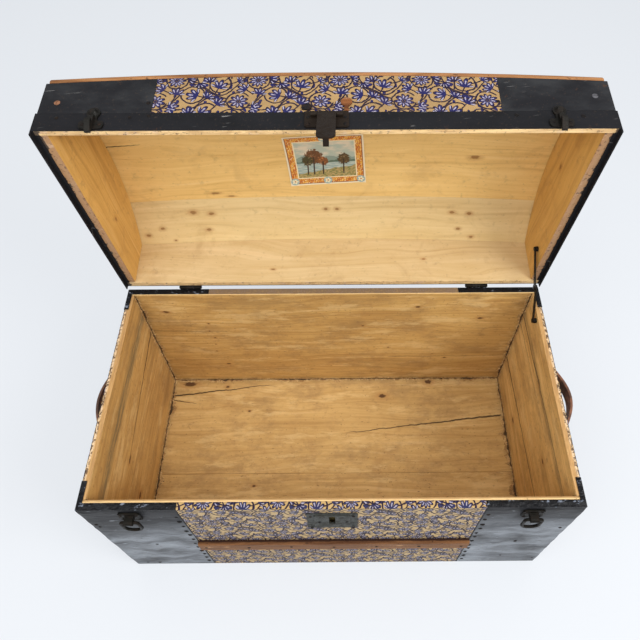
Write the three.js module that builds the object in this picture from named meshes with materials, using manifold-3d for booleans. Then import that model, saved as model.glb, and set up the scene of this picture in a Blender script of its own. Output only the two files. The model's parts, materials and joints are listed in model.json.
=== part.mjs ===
// Dome top trunk with its lid open. Pine boards lie under printed tin and black
// sheet iron, with hinges, a lid stay, a hasp and lock, two draw bolts and two
// leather handles. Millimetres, X to the right, Y to the back, Z up, with the
// origin under the middle of the body, on the surface that it stands on.

import * as THREE from 'three';
import { mergeVertices } from 'three/addons/utils/BufferGeometryUtils.js';
import Module from 'manifold-3d';

const wasm = await Module();
wasm.setup();

// Overall sizes
const trunk_length = 813;
const trunk_depth = 432;
const body_height = 368;
const seam_gap = 1;
const lid_wall_height = 82.5;
const dome_rise = 52;
const dome_camber = 14;
const lid_open_degrees = 83.4;

// Boards and sheets
const end_board = 12;
const front_board = 16;
const back_board = 12;
const floor_board = 12;
const lid_board = 12;
const lid_front_board = 8;
const lid_end_board = 16;
const plank = 7;
const plank_count = 4;
const tin = 1.2;
const end_seam_height = 172;
const floor_seam_place = -32;

// Clearances
const seat = 0.3;
const overrun = 2;
const weld = 0.0001;

// Coverings of the body and lid
const panel_width = 159.5;
const corner_wrap = 48;
const rim_fold = 12;
const end_fold = 9;
const sheet_foot = 1;
const sheet_edge_drop = 1;
const band_height = 33;
const band_stand = 2.5;
const band_fold = 6;
const band_lap = 7;

// Slats
const slat_height = 38;
const slat_thickness = 9;
const slat_chamfer = 1.5;
const slat_top = 185;
const lid_slat_width = 36;
const lid_slat_thickness = 7;
const lid_slat_inset = 4;

// Hinges on the back
const hinge_place = 284;
const hinge_reach = 4.3;
const hinge_leaf_width = 40;
const hinge_leaf_height = 45;
const hinge_leaf_thickness = 2;
const hinge_barrel_radius = 4;
const hinge_pin_radius = 1.8;
const hinge_pin_head = 3.2;
const hinge_pin_clearance = 0.35;
const hinge_middle_width = 13;
const hinge_knuckle_gap = 0.4;

// Lid stay on the right end
const stay_foot_back = 76.5;
const stay_foot_drop = 12.1;
const stay_head_back = 86.7;
const stay_head_height = 29.3;
const stay_lower_length = 68.3;
const stay_lower_degrees = 54.7;
const stay_slot_near = 55.7;
const stay_slot_far = 72.6;
const stay_slot_half_width = 3.3;
const stay_arm_thickness = 2;
const stay_arm_half_width = 4.6;
const stay_slot_wall = 2.2;
const stay_stud_radius = 2;
const stay_stud_clearance = 0.4;
const stay_stud_head = 4.4;
const stay_stud_head_thickness = 1.2;
const stay_washer_radius = 5;
const stay_washer_thickness = 5.3;
const stay_arm_gap = 0.7;
const elbow_pin_radius = 1.75;
const elbow_head_radius = 4.6;

// Hasp on the lid
const hasp_plate_width = 62;
const hasp_plate_thickness = 2;
const hasp_plate_foot = 3;
const hasp_plate_top = 33;
const hasp_pin_height = 24;
const hasp_pin_reach = 5.4;
const hasp_pin_radius = 1.6;
const hasp_pin_clearance = 0.45;
const hasp_barrel_radius = 3.2;
const hasp_flap_width = 26;
const hasp_flap_thickness = 3;
const hasp_flap_length = 74;
const hasp_flap_corner = 9;
const hasp_knuckle_width = 9;
const hasp_knuckle_gap = 0.5;
const hasp_raise_degrees = 20;
const lug_width = 8;
const lug_height = 12;
const lug_inset = 4;
const lug_length = 13.4;
const lug_hole_radius = 1.9;

// Lock on the body
const lock_width = 84;
const lock_height = 79;
const lock_corner = 4;
const lock_flange = 1.6;
const lock_rise = 4;
const lock_boss_margin = 12;
const lock_margin = 8;
const slot_clearance = 1;
const slot_headroom = 3;
const slot_height = 42;
const mortise_width = 48;
const mortise_depth = 11;
const mortise_headroom = 4;
const mortise_height = 58;
const bolt_front = 3.5;
const bolt_block_width = 27;
const bolt_block_height = 33;
const bolt_post_width = 4.5;
const bolt_rod_radius = 1.4;
const bolt_rod_length = 10;
const bolt_rod_place = 5.2;
const bolt_clearance = 0.6;

// Draw bolts
const draw_bolt_place = 326;
const bail_drop = 26;
const bail_reach = 12;
const bail_length = 40;
const bail_bar = 5;
const bail_inner_width = 23;
const bail_corner = 7;
const bail_bow = 14;
const bail_chamfer = 1.2;
const bail_base_width = 36;
const bail_base_above = 14;
const bail_base_below = 18;
const bail_base_thickness = 3;
const bail_base_corner = 6;
const bail_knuckle_width = 14;
const bail_knuckle_radius = 5.2;
const bail_bore_radius = 3.1;
const catch_foot = 2;
const catch_thickness = 2.5;
const catch_ear_width = 34;
const catch_ear_top = 16;
const catch_ear_corner = 5;
const catch_waist_width = 14;
const catch_lobe_place = 31;
const catch_lobe_radius = 9.5;
const catch_boss_radius = 7.5;
const catch_boss_height = 5;
const catch_boss_taper_share = 0.55;
const nose_width = 8;
const nose_root_top = 22;
const nose_root_reach = 8.5;
const nose_reach = 15;
const nose_tip_drop = 8;
const nose_tip_reach = 8;
const nose_ledge_clearance = 0.7;

// Leather end handles
const handle_drop = 62;
const strap_height = 28;
const strap_thickness = 5;
const strap_bow_left = 24;
const strap_bow_right = 30;
const strap_half_span = 80;
const strap_tab = 24;
const strap_steps = 18;
const strap_power = 1.5;
const cap_height = 40;
const cap_wall = 2.4;
const cap_cover = 20;
const cap_corner = 8;

// Facets
const curve_steps = 5;
const round_sides = 20;
const dome_steps = 16;
const camber_steps = 12;

// Places worked out from the sizes above
const skin_depth = tin + seat;
const half_length = trunk_length / 2;
const half_depth = trunk_depth / 2;
const board_x = half_length - skin_depth;
const board_y = half_depth - skin_depth;
const inner_x = board_x - end_board;
const lid_inner_x = board_x - lid_end_board;
const panel_edge = half_length - panel_width;
const lid_rim = body_height + seam_gap;
const hinge_y = half_depth + hinge_reach;
const hinge_z = body_height + seam_gap / 2;
const lid_open_angle = THREE.MathUtils.degToRad(lid_open_degrees);
const dome_radius = (board_y ** 2 + dome_rise ** 2) / (2 * dome_rise);
const dome_centre = lid_rim + lid_wall_height + dome_rise - dome_radius;
const hasp_pin_y = -half_depth - hasp_pin_reach;
const hasp_pin_z = lid_rim + hasp_pin_height;
const lug_bottom = hasp_pin_z - hasp_flap_length + lug_inset;
const lug_top = lug_bottom + lug_height;
const lug_middle = (lug_bottom + lug_top) / 2;
const slot_top = lug_top + slot_headroom;
const slot_bottom = slot_top - slot_height;
const slot_half_width = lug_width / 2 + slot_clearance;
const lock_top = slot_top + lock_margin;
const mortise_top = slot_top + mortise_headroom;
const mortise_bottom = mortise_top - mortise_height;
const bail_y = -half_depth - bail_reach;
const bail_z = body_height - bail_drop;

// Materials
const pine = new THREE.MeshStandardMaterial({ color: 0xc39150, roughness: 0.62 });
const pine_light = new THREE.MeshStandardMaterial({ color: 0xd9b577, roughness: 0.6 });
const slat_wood = new THREE.MeshStandardMaterial({ color: 0x7a4f31, roughness: 0.7 });
const printed_tin = new THREE.MeshStandardMaterial({ color: 0xa99877, roughness: 0.55 });
const black_iron = new THREE.MeshStandardMaterial({ color: 0x303238, roughness: 0.4, metalness: 0.6 });
const dark_iron = new THREE.MeshStandardMaterial({ color: 0x2b2622, roughness: 0.55, metalness: 0.7 });
const grey_steel = new THREE.MeshStandardMaterial({ color: 0x6d716f, roughness: 0.45, metalness: 0.8 });
const old_brass = new THREE.MeshStandardMaterial({ color: 0x8f7434, roughness: 0.4, metalness: 0.9 });
const leather = new THREE.MeshStandardMaterial({ color: 0x3c231b, roughness: 0.6 });

const axis_x = new THREE.Vector3(1, 0, 0);
const axis_y = new THREE.Vector3(0, 1, 0);
const axis_z = new THREE.Vector3(0, 0, 1);

function toSolid(geometry) {
  const bare = geometry.clone();
  bare.deleteAttribute('normal');
  bare.deleteAttribute('uv');
  const welded = mergeVertices(bare, weld);
  return new wasm.Manifold(new wasm.Mesh({
    numProp: 3,
    vertProperties: Float32Array.from(welded.attributes.position.array),
    triVerts: Uint32Array.from(welded.index.array),
  }));
}

function toGeometry(solid) {
  const mesh = solid.getMesh();
  const geometry = new THREE.BufferGeometry();
  geometry.setAttribute('position', new THREE.BufferAttribute(mesh.vertProperties, 3));
  geometry.setIndex(new THREE.BufferAttribute(mesh.triVerts, 1));
  geometry.computeVertexNormals();
  return geometry;
}

function join(...geometries) {
  return toGeometry(geometries.map(toSolid).reduce((whole, piece) => whole.add(piece)));
}

function cut(geometry, ...tools) {
  return toGeometry(tools.map(toSolid).reduce((whole, tool) => whole.subtract(tool), toSolid(geometry)));
}

// A box between two corners, whose ends may be given in either order
function block(xa, xb, ya, yb, za, zb) {
  const box = new THREE.BoxGeometry(Math.abs(xb - xa), Math.abs(yb - ya), Math.abs(zb - za));
  return box.translate((xa + xb) / 2, (ya + yb) / 2, (za + zb) / 2);
}

// Extrusions: the drawing plane is Y and Z, X and Z, or X and Y
function extrudeAlongX(shape, x0, x1) {
  const options = { depth: x1 - x0, bevelEnabled: false, curveSegments: curve_steps };
  const geometry = new THREE.ExtrudeGeometry(shape, options);
  return geometry.applyMatrix4(new THREE.Matrix4().makeBasis(axis_y, axis_z, axis_x)).translate(x0, 0, 0);
}

function turnToFront(geometry, y_back) {
  const turn = new THREE.Matrix4().makeBasis(axis_x, axis_z, axis_y.clone().negate());
  return geometry.applyMatrix4(turn).translate(0, y_back, 0);
}

function extrudeAlongY(shape, y0, y1) {
  const options = { depth: y1 - y0, bevelEnabled: false, curveSegments: curve_steps };
  return turnToFront(new THREE.ExtrudeGeometry(shape, options), y1);
}

function extrudeAlongZ(shape, z0, z1) {
  const options = { depth: z1 - z0, bevelEnabled: false, curveSegments: curve_steps };
  return new THREE.ExtrudeGeometry(shape, options).translate(0, 0, z0);
}

function rodAlongX(radius, x0, x1, y, z) {
  const rod = new THREE.CylinderGeometry(radius, radius, x1 - x0, round_sides);
  return rod.rotateZ(Math.PI / 2).translate((x0 + x1) / 2, y, z);
}

// Outlines
function outline(points) {
  return new THREE.Shape(points.map(([u, v]) => new THREE.Vector2(u, v)));
}

function roundedOutline(u0, u1, v0, v1, radius, low_radius = radius) {
  const shape = new THREE.Shape();
  shape.absarc(u1 - low_radius, v0 + low_radius, low_radius, -Math.PI / 2, 0);
  shape.absarc(u1 - radius, v1 - radius, radius, 0, Math.PI / 2);
  shape.absarc(u0 + radius, v1 - radius, radius, Math.PI / 2, Math.PI);
  shape.absarc(u0 + low_radius, v0 + low_radius, low_radius, Math.PI, 3 * Math.PI / 2);
  shape.closePath();
  return shape;
}

// A bar with two round ends, lying from u0 to u1
function slotOutline(u0, u1, radius) {
  const shape = new THREE.Shape();
  shape.absarc(u1, 0, radius, -Math.PI / 2, Math.PI / 2);
  shape.absarc(u0, 0, radius, Math.PI / 2, 3 * Math.PI / 2);
  shape.closePath();
  return shape;
}

function archOutline(half_width, bottom, top) {
  const shape = new THREE.Shape();
  shape.moveTo(-half_width, bottom);
  shape.lineTo(half_width, bottom);
  shape.absarc(0, top - half_width, half_width, 0, Math.PI);
  shape.closePath();
  return shape;
}

// A plate that hangs from a straight top edge, with its lower corners rounded
function tongueOutline(half_width, bottom, top, radius) {
  const shape = new THREE.Shape();
  shape.moveTo(half_width, top);
  shape.lineTo(-half_width, top);
  shape.absarc(-half_width + radius, bottom + radius, radius, Math.PI, 3 * Math.PI / 2);
  shape.absarc(half_width - radius, bottom + radius, radius, 3 * Math.PI / 2, 2 * Math.PI);
  shape.closePath();
  return shape;
}

function spread(from, to, steps) {
  return Array.from({ length: steps + 1 }, (_, i) => from + (to - from) * i / steps);
}

// The dome: an arch from front to back that is also cambered along its length.
// Its facets meet at the same lines in every layer, so the layers nest.
const arch_lines = spread(-half_depth, half_depth, dome_steps);
const camber_lines = spread(-half_length, half_length, camber_steps);

function alongFacets(lines, value, height) {
  const last = lines.length - 2;
  const found = lines.findIndex((line) => line > value) - 1;
  const i = found < 0 ? last : Math.min(found, last);
  const share = (value - lines[i]) / (lines[i + 1] - lines[i]);
  return height(lines[i]) * (1 - share) + height(lines[i + 1]) * share;
}

// The offset is measured from the inner face of the planks, square to the arch
function domeHeight(x, y, offset) {
  const arch = alongFacets(arch_lines, y, (line) => Math.sqrt((dome_radius + offset) ** 2 - line ** 2));
  const camber = alongFacets(camber_lines, x, (line) => 1 - (line / half_length) ** 2);
  return dome_centre + arch + dome_camber * camber;
}

// The facet lines that lie between two edges, with the edges themselves
function between(lines, from, to) {
  return [from, ...lines.filter((line) => line > from + weld && line < to - weld), to];
}

// A closed block over a grid, between a lower and an upper surface
function surfaceBlock(xs, ys, lower, upper) {
  const positions = [];
  const faces = [];
  for (const surface of [lower, upper]) {
    for (const x of xs) {
      for (const y of ys) {
        positions.push(x, y, surface(x, y));
      }
    }
  }
  const last_x = xs.length - 1;
  const last_y = ys.length - 1;
  const at = (i, j, level) => (level * xs.length + i) * ys.length + j;
  const quad = (a, b, c, d) => faces.push(a, b, c, a, c, d);
  for (let i = 0; i < last_x; i += 1) {
    for (let j = 0; j < last_y; j += 1) {
      quad(at(i, j, 1), at(i + 1, j, 1), at(i + 1, j + 1, 1), at(i, j + 1, 1));
      quad(at(i, j, 0), at(i, j + 1, 0), at(i + 1, j + 1, 0), at(i + 1, j, 0));
    }
    quad(at(i, 0, 0), at(i + 1, 0, 0), at(i + 1, 0, 1), at(i, 0, 1));
    quad(at(i + 1, last_y, 0), at(i, last_y, 0), at(i, last_y, 1), at(i + 1, last_y, 1));
  }
  for (let j = 0; j < last_y; j += 1) {
    quad(at(0, j + 1, 0), at(0, j, 0), at(0, j, 1), at(0, j + 1, 1));
    quad(at(last_x, j, 0), at(last_x, j + 1, 0), at(last_x, j + 1, 1), at(last_x, j, 1));
  }
  const geometry = new THREE.BufferGeometry();
  geometry.setAttribute('position', new THREE.Float32BufferAttribute(positions, 3));
  geometry.setIndex(faces);
  geometry.computeVertexNormals();
  return geometry;
}

// A wall that stands on a level foot and ends under the dome
function wallUnderDome(xs, ys, foot, offset) {
  return surfaceBlock(xs, ys, () => foot, (x, y) => domeHeight(x, y, offset));
}

// A piece of one of the dome's layers
function domeLayer(xs, ys, low, high) {
  return surfaceBlock(xs, ys, (x, y) => domeHeight(x, y, low), (x, y) => domeHeight(x, y, high));
}

function add(group, name, geometry, material) {
  const mesh = new THREE.Mesh(geometry, material);
  mesh.name = name;
  group.add(mesh);
  return mesh;
}

// Body boards
function addBodyBoards(group) {
  const top = body_height - skin_depth;
  const inner_front = -board_y + front_board;
  const inner_back = board_y - back_board;
  const wall_front = block(-board_x, board_x, -board_y, inner_front, 0, top);
  const mortise = block(-mortise_width / 2, mortise_width / 2, -board_y - overrun,
    -half_depth + mortise_depth, mortise_bottom, mortise_top);
  add(group, 'wall_front', cut(wall_front, mortise), pine);
  add(group, 'wall_back', block(-board_x, board_x, inner_back, board_y, 0, top), pine);
  for (const [side, sign] of [['left', -1], ['right', 1]]) {
    const faces = [sign * inner_x, sign * board_x, inner_front + seat, inner_back - seat];
    add(group, `end_${side}_lower`, block(...faces, 0, end_seam_height), pine);
    add(group, `end_${side}_upper`, block(...faces, end_seam_height + seat, top), pine);
  }
  const floor_x = inner_x - seat;
  add(group, 'floor_front', block(-floor_x, floor_x, inner_front + seat, floor_seam_place - seat,
    0, floor_board), pine);
  add(group, 'floor_back', block(-floor_x, floor_x, floor_seam_place, inner_back - seat,
    0, floor_board), pine);
}

// Printed sheets and black corner panels of the body
function addBodySheets(group) {
  const sheet_x = panel_edge - seat;
  for (const [face, sign] of [['front', -1], ['back', 1]]) {
    const outer = sign * half_depth;
    const leaf = block(-sheet_x, sheet_x, outer, outer - sign * tin, sheet_foot, body_height);
    const fold = block(-sheet_x, sheet_x, outer, outer - sign * rim_fold, body_height - tin, body_height);
    const sheet = join(leaf, fold);
    const window_front = block(-mortise_width / 2, mortise_width / 2, -half_depth - overrun,
      -half_depth + tin + overrun, mortise_bottom, mortise_top);
    add(group, `print_${face}`, sign < 0 ? cut(sheet, window_front) : sheet, printed_tin);
    for (const [side, side_sign] of [['left', -1], ['right', 1]]) {
      const end = side_sign * half_length;
      const edge = side_sign * panel_edge;
      const wrap = outer - sign * corner_wrap;
      add(group, `corner_${face}_${side}`, join(
        block(edge, end, outer, outer - sign * tin, sheet_foot, body_height),
        block(end, end - side_sign * tin, outer, wrap, sheet_foot, body_height),
        block(edge, end, outer, outer - sign * rim_fold, body_height - tin, body_height),
        block(end, end - side_sign * end_fold, outer, wrap, body_height - tin, body_height),
      ), black_iron);
    }
  }
  for (const [side, sign] of [['left', -1], ['right', 1]]) {
    const reach = half_depth - corner_wrap - seat;
    const top = body_height - skin_depth - sheet_edge_drop;
    const end = sign * half_length;
    add(group, `print_end_${side}`, block(end, end - sign * tin, -reach, reach, sheet_foot, top), printed_tin);
  }
}

// Wooden slats across the front and the back, between the black panels
function addBodySlats(group) {
  for (const [face, sign] of [['front', -1], ['back', 1]]) {
    const inner = sign * (half_depth + seat);
    const outer = inner + sign * slat_thickness;
    const eased = outer - sign * slat_chamfer;
    const bottom = slat_top - slat_height;
    const profile = outline([
      [inner, bottom],
      [eased, bottom],
      [outer, bottom + slat_chamfer],
      [outer, slat_top - slat_chamfer],
      [eased, slat_top],
      [inner, slat_top],
    ]);
    add(group, `slat_${face}`, extrudeAlongX(profile, -panel_edge, panel_edge), slat_wood);
  }
}

// Lock plate with its arched slot, and the brass bolt behind it
function addLock(group) {
  const back = -half_depth - seat;
  const half_width = lock_width / 2;
  const bottom = lock_top - lock_height;
  const flange = roundedOutline(-half_width, half_width, bottom, lock_top, lock_corner);
  const margin = lock_boss_margin;
  const boss = roundedOutline(-half_width + margin, half_width - margin, bottom + margin,
    lock_top - margin / 2, lock_corner);
  const slot = archOutline(slot_half_width, slot_bottom, slot_top);
  add(group, 'lock_plate', cut(
    join(
      extrudeAlongY(flange, back - lock_flange, back),
      extrudeAlongY(boss, -half_depth - lock_rise, back),
    ),
    extrudeAlongY(slot, -half_depth - lock_rise - overrun, back + overrun),
  ), grey_steel);

  const front = -half_depth + bolt_front;
  const rear = -half_depth + mortise_depth - seat;
  const tip = lug_width / 2 + bolt_clearance;
  const post = tip + bolt_rod_length;
  const post_end = post + bolt_post_width;
  const foot = mortise_bottom + seat;
  const rod = rodAlongX(bolt_rod_radius, tip, post + overrun, -half_depth + bolt_rod_place, lug_middle);
  add(group, 'lock_bolt', join(
    block(post_end - bolt_block_width, post_end, front, rear, foot, foot + bolt_block_height),
    block(post, post_end, front, rear, foot, lug_middle + bolt_rod_radius + seat),
    rod,
  ), old_brass);
}

// Draw bolts: a base and a swinging bail on the body, a hooked catch on the lid
function addBailBase(group, side, place) {
  const back = -half_depth - seat;
  const half_width = bail_base_width / 2;
  const plate = roundedOutline(place - half_width, place + half_width,
    bail_z - bail_base_below, bail_z + bail_base_above, bail_base_corner);
  const half_knuckle = bail_knuckle_width / 2;
  const knuckle = [place - half_knuckle, place + half_knuckle];
  add(group, `bail_base_${side}`, cut(
    join(
      extrudeAlongY(plate, back - bail_base_thickness, back),
      block(...knuckle, back - bail_base_thickness / 2, bail_y,
        bail_z - bail_knuckle_radius, bail_z + bail_knuckle_radius),
      rodAlongX(bail_knuckle_radius, ...knuckle, bail_y, bail_z),
    ),
    rodAlongX(bail_bore_radius, knuckle[0] - overrun, knuckle[1] + overrun, bail_y, bail_z),
  ), dark_iron);
}

function addBail(group, side, place) {
  const inner = bail_inner_width / 2 + bail_chamfer;
  const outer = bail_inner_width / 2 + bail_bar - bail_chamfer;
  const half_bar = bail_bar / 2 - bail_chamfer;
  const far = bail_z - bail_length;
  const ring = roundedOutline(-outer, outer, far - half_bar, bail_z + half_bar, bail_corner, bail_bow);
  ring.holes.push(roundedOutline(-inner, inner, far + half_bar, bail_z - half_bar,
    bail_corner - half_bar * 2, bail_bow - half_bar * 2));
  const options = {
    depth: bail_bar - 2 * bail_chamfer,
    bevelThickness: bail_chamfer,
    bevelSize: bail_chamfer,
    bevelSegments: 1,
    curveSegments: curve_steps,
  };
  const geometry = turnToFront(new THREE.ExtrudeGeometry(ring, options), bail_y + half_bar);
  add(group, `bail_${side}`, geometry.translate(place, 0, 0), dark_iron);
}

function addCatch(group, side, place) {
  const back = -half_depth - seat;
  const face = back - catch_thickness;
  const half_ears = catch_ear_width / 2;
  const half_waist = catch_waist_width / 2;
  const lobe_z = lid_rim + catch_lobe_place;
  const ears = roundedOutline(-half_ears, half_ears, lid_rim + catch_foot, lid_rim + catch_ear_top,
    catch_ear_corner);
  const lobe = new THREE.CylinderGeometry(catch_lobe_radius, catch_lobe_radius, catch_thickness, round_sides);
  lobe.translate(0, back - catch_thickness / 2, lobe_z);
  const boss = new THREE.CylinderGeometry(catch_boss_radius, catch_boss_radius * catch_boss_taper_share,
    catch_boss_height, round_sides);
  boss.translate(0, face - catch_boss_height / 2 + seat, lobe_z);
  const ledge = bail_z + bail_length - bail_bar / 2 - nose_ledge_clearance;
  const root = -half_depth - catch_thickness / 2;
  const nose = outline([
    [root, lid_rim + nose_root_top],
    [-half_depth - nose_root_reach + catch_foot / 2, lid_rim + nose_root_top],
    [-half_depth - nose_root_reach, lid_rim + nose_root_top - catch_foot],
    [-half_depth - nose_root_reach, ledge],
    [-half_depth - nose_reach, ledge],
    [-half_depth - nose_reach, ledge - catch_thickness * 2],
    [-half_depth - nose_tip_reach, lid_rim - nose_tip_drop],
    [-half_depth - nose_tip_reach / 2, lid_rim - nose_tip_drop],
    [-half_depth - nose_tip_reach / 2, lid_rim],
    [root, lid_rim + catch_foot * 2],
  ]);
  const shapes = join(
    extrudeAlongY(ears, face, back),
    block(-half_waist, half_waist, face, back, lid_rim + catch_foot * 2, lobe_z),
    lobe,
    boss,
    extrudeAlongX(nose, -nose_width / 2, nose_width / 2),
  );
  add(group, `catch_${side}`, shapes.translate(place, 0, 0), dark_iron);
}

// Leather handle on an end: a bowed strap with its tabs under two metal caps
function addHandle(group, side, sign, strap_bow) {
  const tab_centre = seat * 2 + strap_thickness / 2;
  const bow = (y) => tab_centre + strap_bow * Math.max(0, 1 - (y / strap_half_span) ** 2) ** strap_power;
  const end = strap_half_span + strap_tab;
  const stations = [-end, ...spread(-strap_half_span, strap_half_span, strap_steps), end];
  const edge = (offset) => stations.map((y) => {
    const slope = (bow(y + weld) - bow(y - weld)) / (2 * weld);
    const length = Math.hypot(1, slope);
    return [sign * (half_length + bow(y) + offset / length), y - offset * slope / length];
  });
  const strap = outline([...edge(-strap_thickness / 2), ...edge(strap_thickness / 2).reverse()]);
  const middle = body_height - handle_drop;
  add(group, `handle_strap_${side}`, extrudeAlongZ(strap, middle - strap_height / 2,
    middle + strap_height / 2), leather);

  const pocket_reach = tab_centre + strap_thickness / 2 + seat;
  const pocket_half = strap_height / 2 + seat;
  for (const [place, turn] of [['front', -1], ['back', 1]]) {
    const mouth = end - cap_cover;
    const near = Math.min(turn * mouth, turn * (end + seat + cap_wall));
    const far = Math.max(turn * mouth, turn * (end + seat + cap_wall));
    const shell = roundedOutline(near, far, middle - cap_height / 2, middle + cap_height / 2, cap_corner);
    const faces = [sign * (half_length + seat), sign * (half_length + pocket_reach + cap_wall)];
    const solid = extrudeAlongX(shell, Math.min(...faces), Math.max(...faces));
    const pocket = block(sign * (half_length - overrun), sign * (half_length + pocket_reach),
      turn * (mouth - overrun), turn * (end + seat), middle - pocket_half, middle + pocket_half);
    add(group, `handle_cap_${side}_${place}`, cut(solid, pocket), dark_iron);
  }
}

// Hinges: a leaf on the body, a leaf on the lid and the pin through both
function hingeLeaf(place, upward) {
  const near = half_depth + seat;
  const far = near + hinge_leaf_thickness;
  const half_width = hinge_leaf_width / 2;
  const half_middle = hinge_middle_width / 2;
  const reach = hinge_barrel_radius + seat * 2;
  const plate = block(place - half_width, place + half_width, near, far,
    hinge_z + upward * reach, hinge_z + upward * hinge_leaf_height);
  const spans = upward > 0
    ? [[-half_middle, half_middle]]
    : [[-half_width, -half_middle - hinge_knuckle_gap], [half_middle + hinge_knuckle_gap, half_width]];
  const knuckles = spans.flatMap(([a, b]) => [
    block(place + a, place + b, near, far, hinge_z, hinge_z + upward * (reach + overrun)),
    rodAlongX(hinge_barrel_radius, place + a, place + b, hinge_y, hinge_z),
  ]);
  const bore = rodAlongX(hinge_pin_radius + hinge_pin_clearance, place - half_width - overrun,
    place + half_width + overrun, hinge_y, hinge_z);
  return cut(join(plate, ...knuckles), bore);
}

function addHingePin(group, side, place) {
  const half_width = hinge_leaf_width / 2 + seat;
  const head = hinge_pin_head / 2;
  add(group, `hinge_pin_${side}`, join(
    rodAlongX(hinge_pin_radius, place - half_width, place + half_width, hinge_y, hinge_z),
    rodAlongX(hinge_pin_head, place - half_width - head, place - half_width, hinge_y, hinge_z),
    rodAlongX(hinge_pin_head, place + half_width, place + half_width + head, hinge_y, hinge_z),
  ), dark_iron);
}

// Lid stay: two arms that meet at an elbow, whose pin slides in the upper arm's slot
const lower_plane = inner_x - stay_washer_thickness - seat - stay_arm_thickness;
const upper_plane = lower_plane - stay_arm_gap - stay_arm_thickness;
const stay_foot = new THREE.Vector2(hinge_y - stay_foot_back, hinge_z - stay_foot_drop);
const stay_head_closed = new THREE.Vector2(hinge_y - stay_head_back, hinge_z + stay_head_height);
const stay_head = stay_head_closed.clone().rotateAround(new THREE.Vector2(hinge_y, hinge_z), -lid_open_angle);
const stay_lower_angle = THREE.MathUtils.degToRad(stay_lower_degrees);
const stay_elbow = stay_foot.clone().add(
  new THREE.Vector2(Math.cos(stay_lower_angle), Math.sin(stay_lower_angle)).multiplyScalar(stay_lower_length),
);

function stayStud(y, z, washer_thickness, wall_face, arm_plane) {
  const head_face = arm_plane - seat;
  return join(
    rodAlongX(stay_washer_radius, wall_face - washer_thickness, wall_face - seat, y, z),
    rodAlongX(stay_stud_radius, head_face - stay_stud_head_thickness, wall_face - seat, y, z),
    rodAlongX(stay_stud_head, head_face - stay_stud_head_thickness, head_face, y, z),
  );
}

function placeArm(geometry, from, to) {
  return geometry.rotateX(Math.atan2(to.y - from.y, to.x - from.x)).translate(0, from.x, from.y);
}

function addStayLowerArm(group) {
  const bar = slotOutline(0, stay_lower_length, stay_arm_half_width);
  const hole = new THREE.Path();
  hole.absarc(0, 0, stay_stud_radius + stay_stud_clearance, 0, 2 * Math.PI);
  bar.holes.push(hole);
  const head_face = upper_plane - seat;
  const pin_end = head_face - stay_stud_head_thickness;
  const arm = join(
    extrudeAlongX(bar, lower_plane, lower_plane + stay_arm_thickness),
    rodAlongX(elbow_pin_radius, pin_end, lower_plane + seat, stay_lower_length, 0),
    rodAlongX(elbow_head_radius, pin_end, head_face, stay_lower_length, 0),
  );
  add(group, 'stay_arm_lower', placeArm(arm, stay_foot, stay_elbow), dark_iron);
}

function addStayUpperArm(group) {
  const half_width = stay_slot_half_width + stay_slot_wall;
  const bar = slotOutline(0, stay_slot_far, stay_arm_half_width);
  const wide = slotOutline(stay_slot_near, stay_slot_far, half_width);
  const slot = slotOutline(stay_slot_near, stay_slot_far, stay_slot_half_width);
  const plane = [upper_plane, upper_plane + stay_arm_thickness];
  const cutter = [upper_plane - overrun, upper_plane + stay_arm_thickness + overrun];
  const arm = cut(
    join(extrudeAlongX(bar, ...plane), extrudeAlongX(wide, ...plane)),
    extrudeAlongX(slot, ...cutter),
    rodAlongX(stay_stud_radius + stay_stud_clearance, ...cutter, 0, 0),
  );
  add(group, 'stay_arm_upper', placeArm(arm, stay_head, stay_elbow), dark_iron);
}

// Lid boards: straight walls whose tops follow the dome, and four curved planks
function addLidBoards(group) {
  const under = -seat;
  const long = between(camber_lines, -board_x, board_x);
  const front = between(arch_lines, -board_y, -board_y + lid_front_board);
  const back = between(arch_lines, board_y - lid_board, board_y);
  add(group, 'lid_front', wallUnderDome(long, front, lid_rim, under), pine_light);
  add(group, 'lid_back', wallUnderDome(long, back, lid_rim, under), pine_light);
  const across = between(arch_lines, -board_y + lid_front_board + seat, board_y - lid_board - seat);
  for (const [side, sign] of [['left', -1], ['right', 1]]) {
    const edges = [sign * lid_inner_x, sign * board_x].sort((a, b) => a - b);
    const xs = between(camber_lines, ...edges);
    const wall = wallUnderDome(xs, across, lid_rim + skin_depth, under);
    add(group, `lid_end_${side}`, wall, pine_light);
  }
  const width = 2 * board_y / plank_count;
  for (let i = 0; i < plank_count; i += 1) {
    const from = -board_y + i * width + (i > 0 ? seat : 0);
    const ys = between(arch_lines, from, -board_y + (i + 1) * width);
    add(group, `dome_plank_${i + 1}`, domeLayer(long, ys, 0, plank), pine_light);
  }
}

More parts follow.
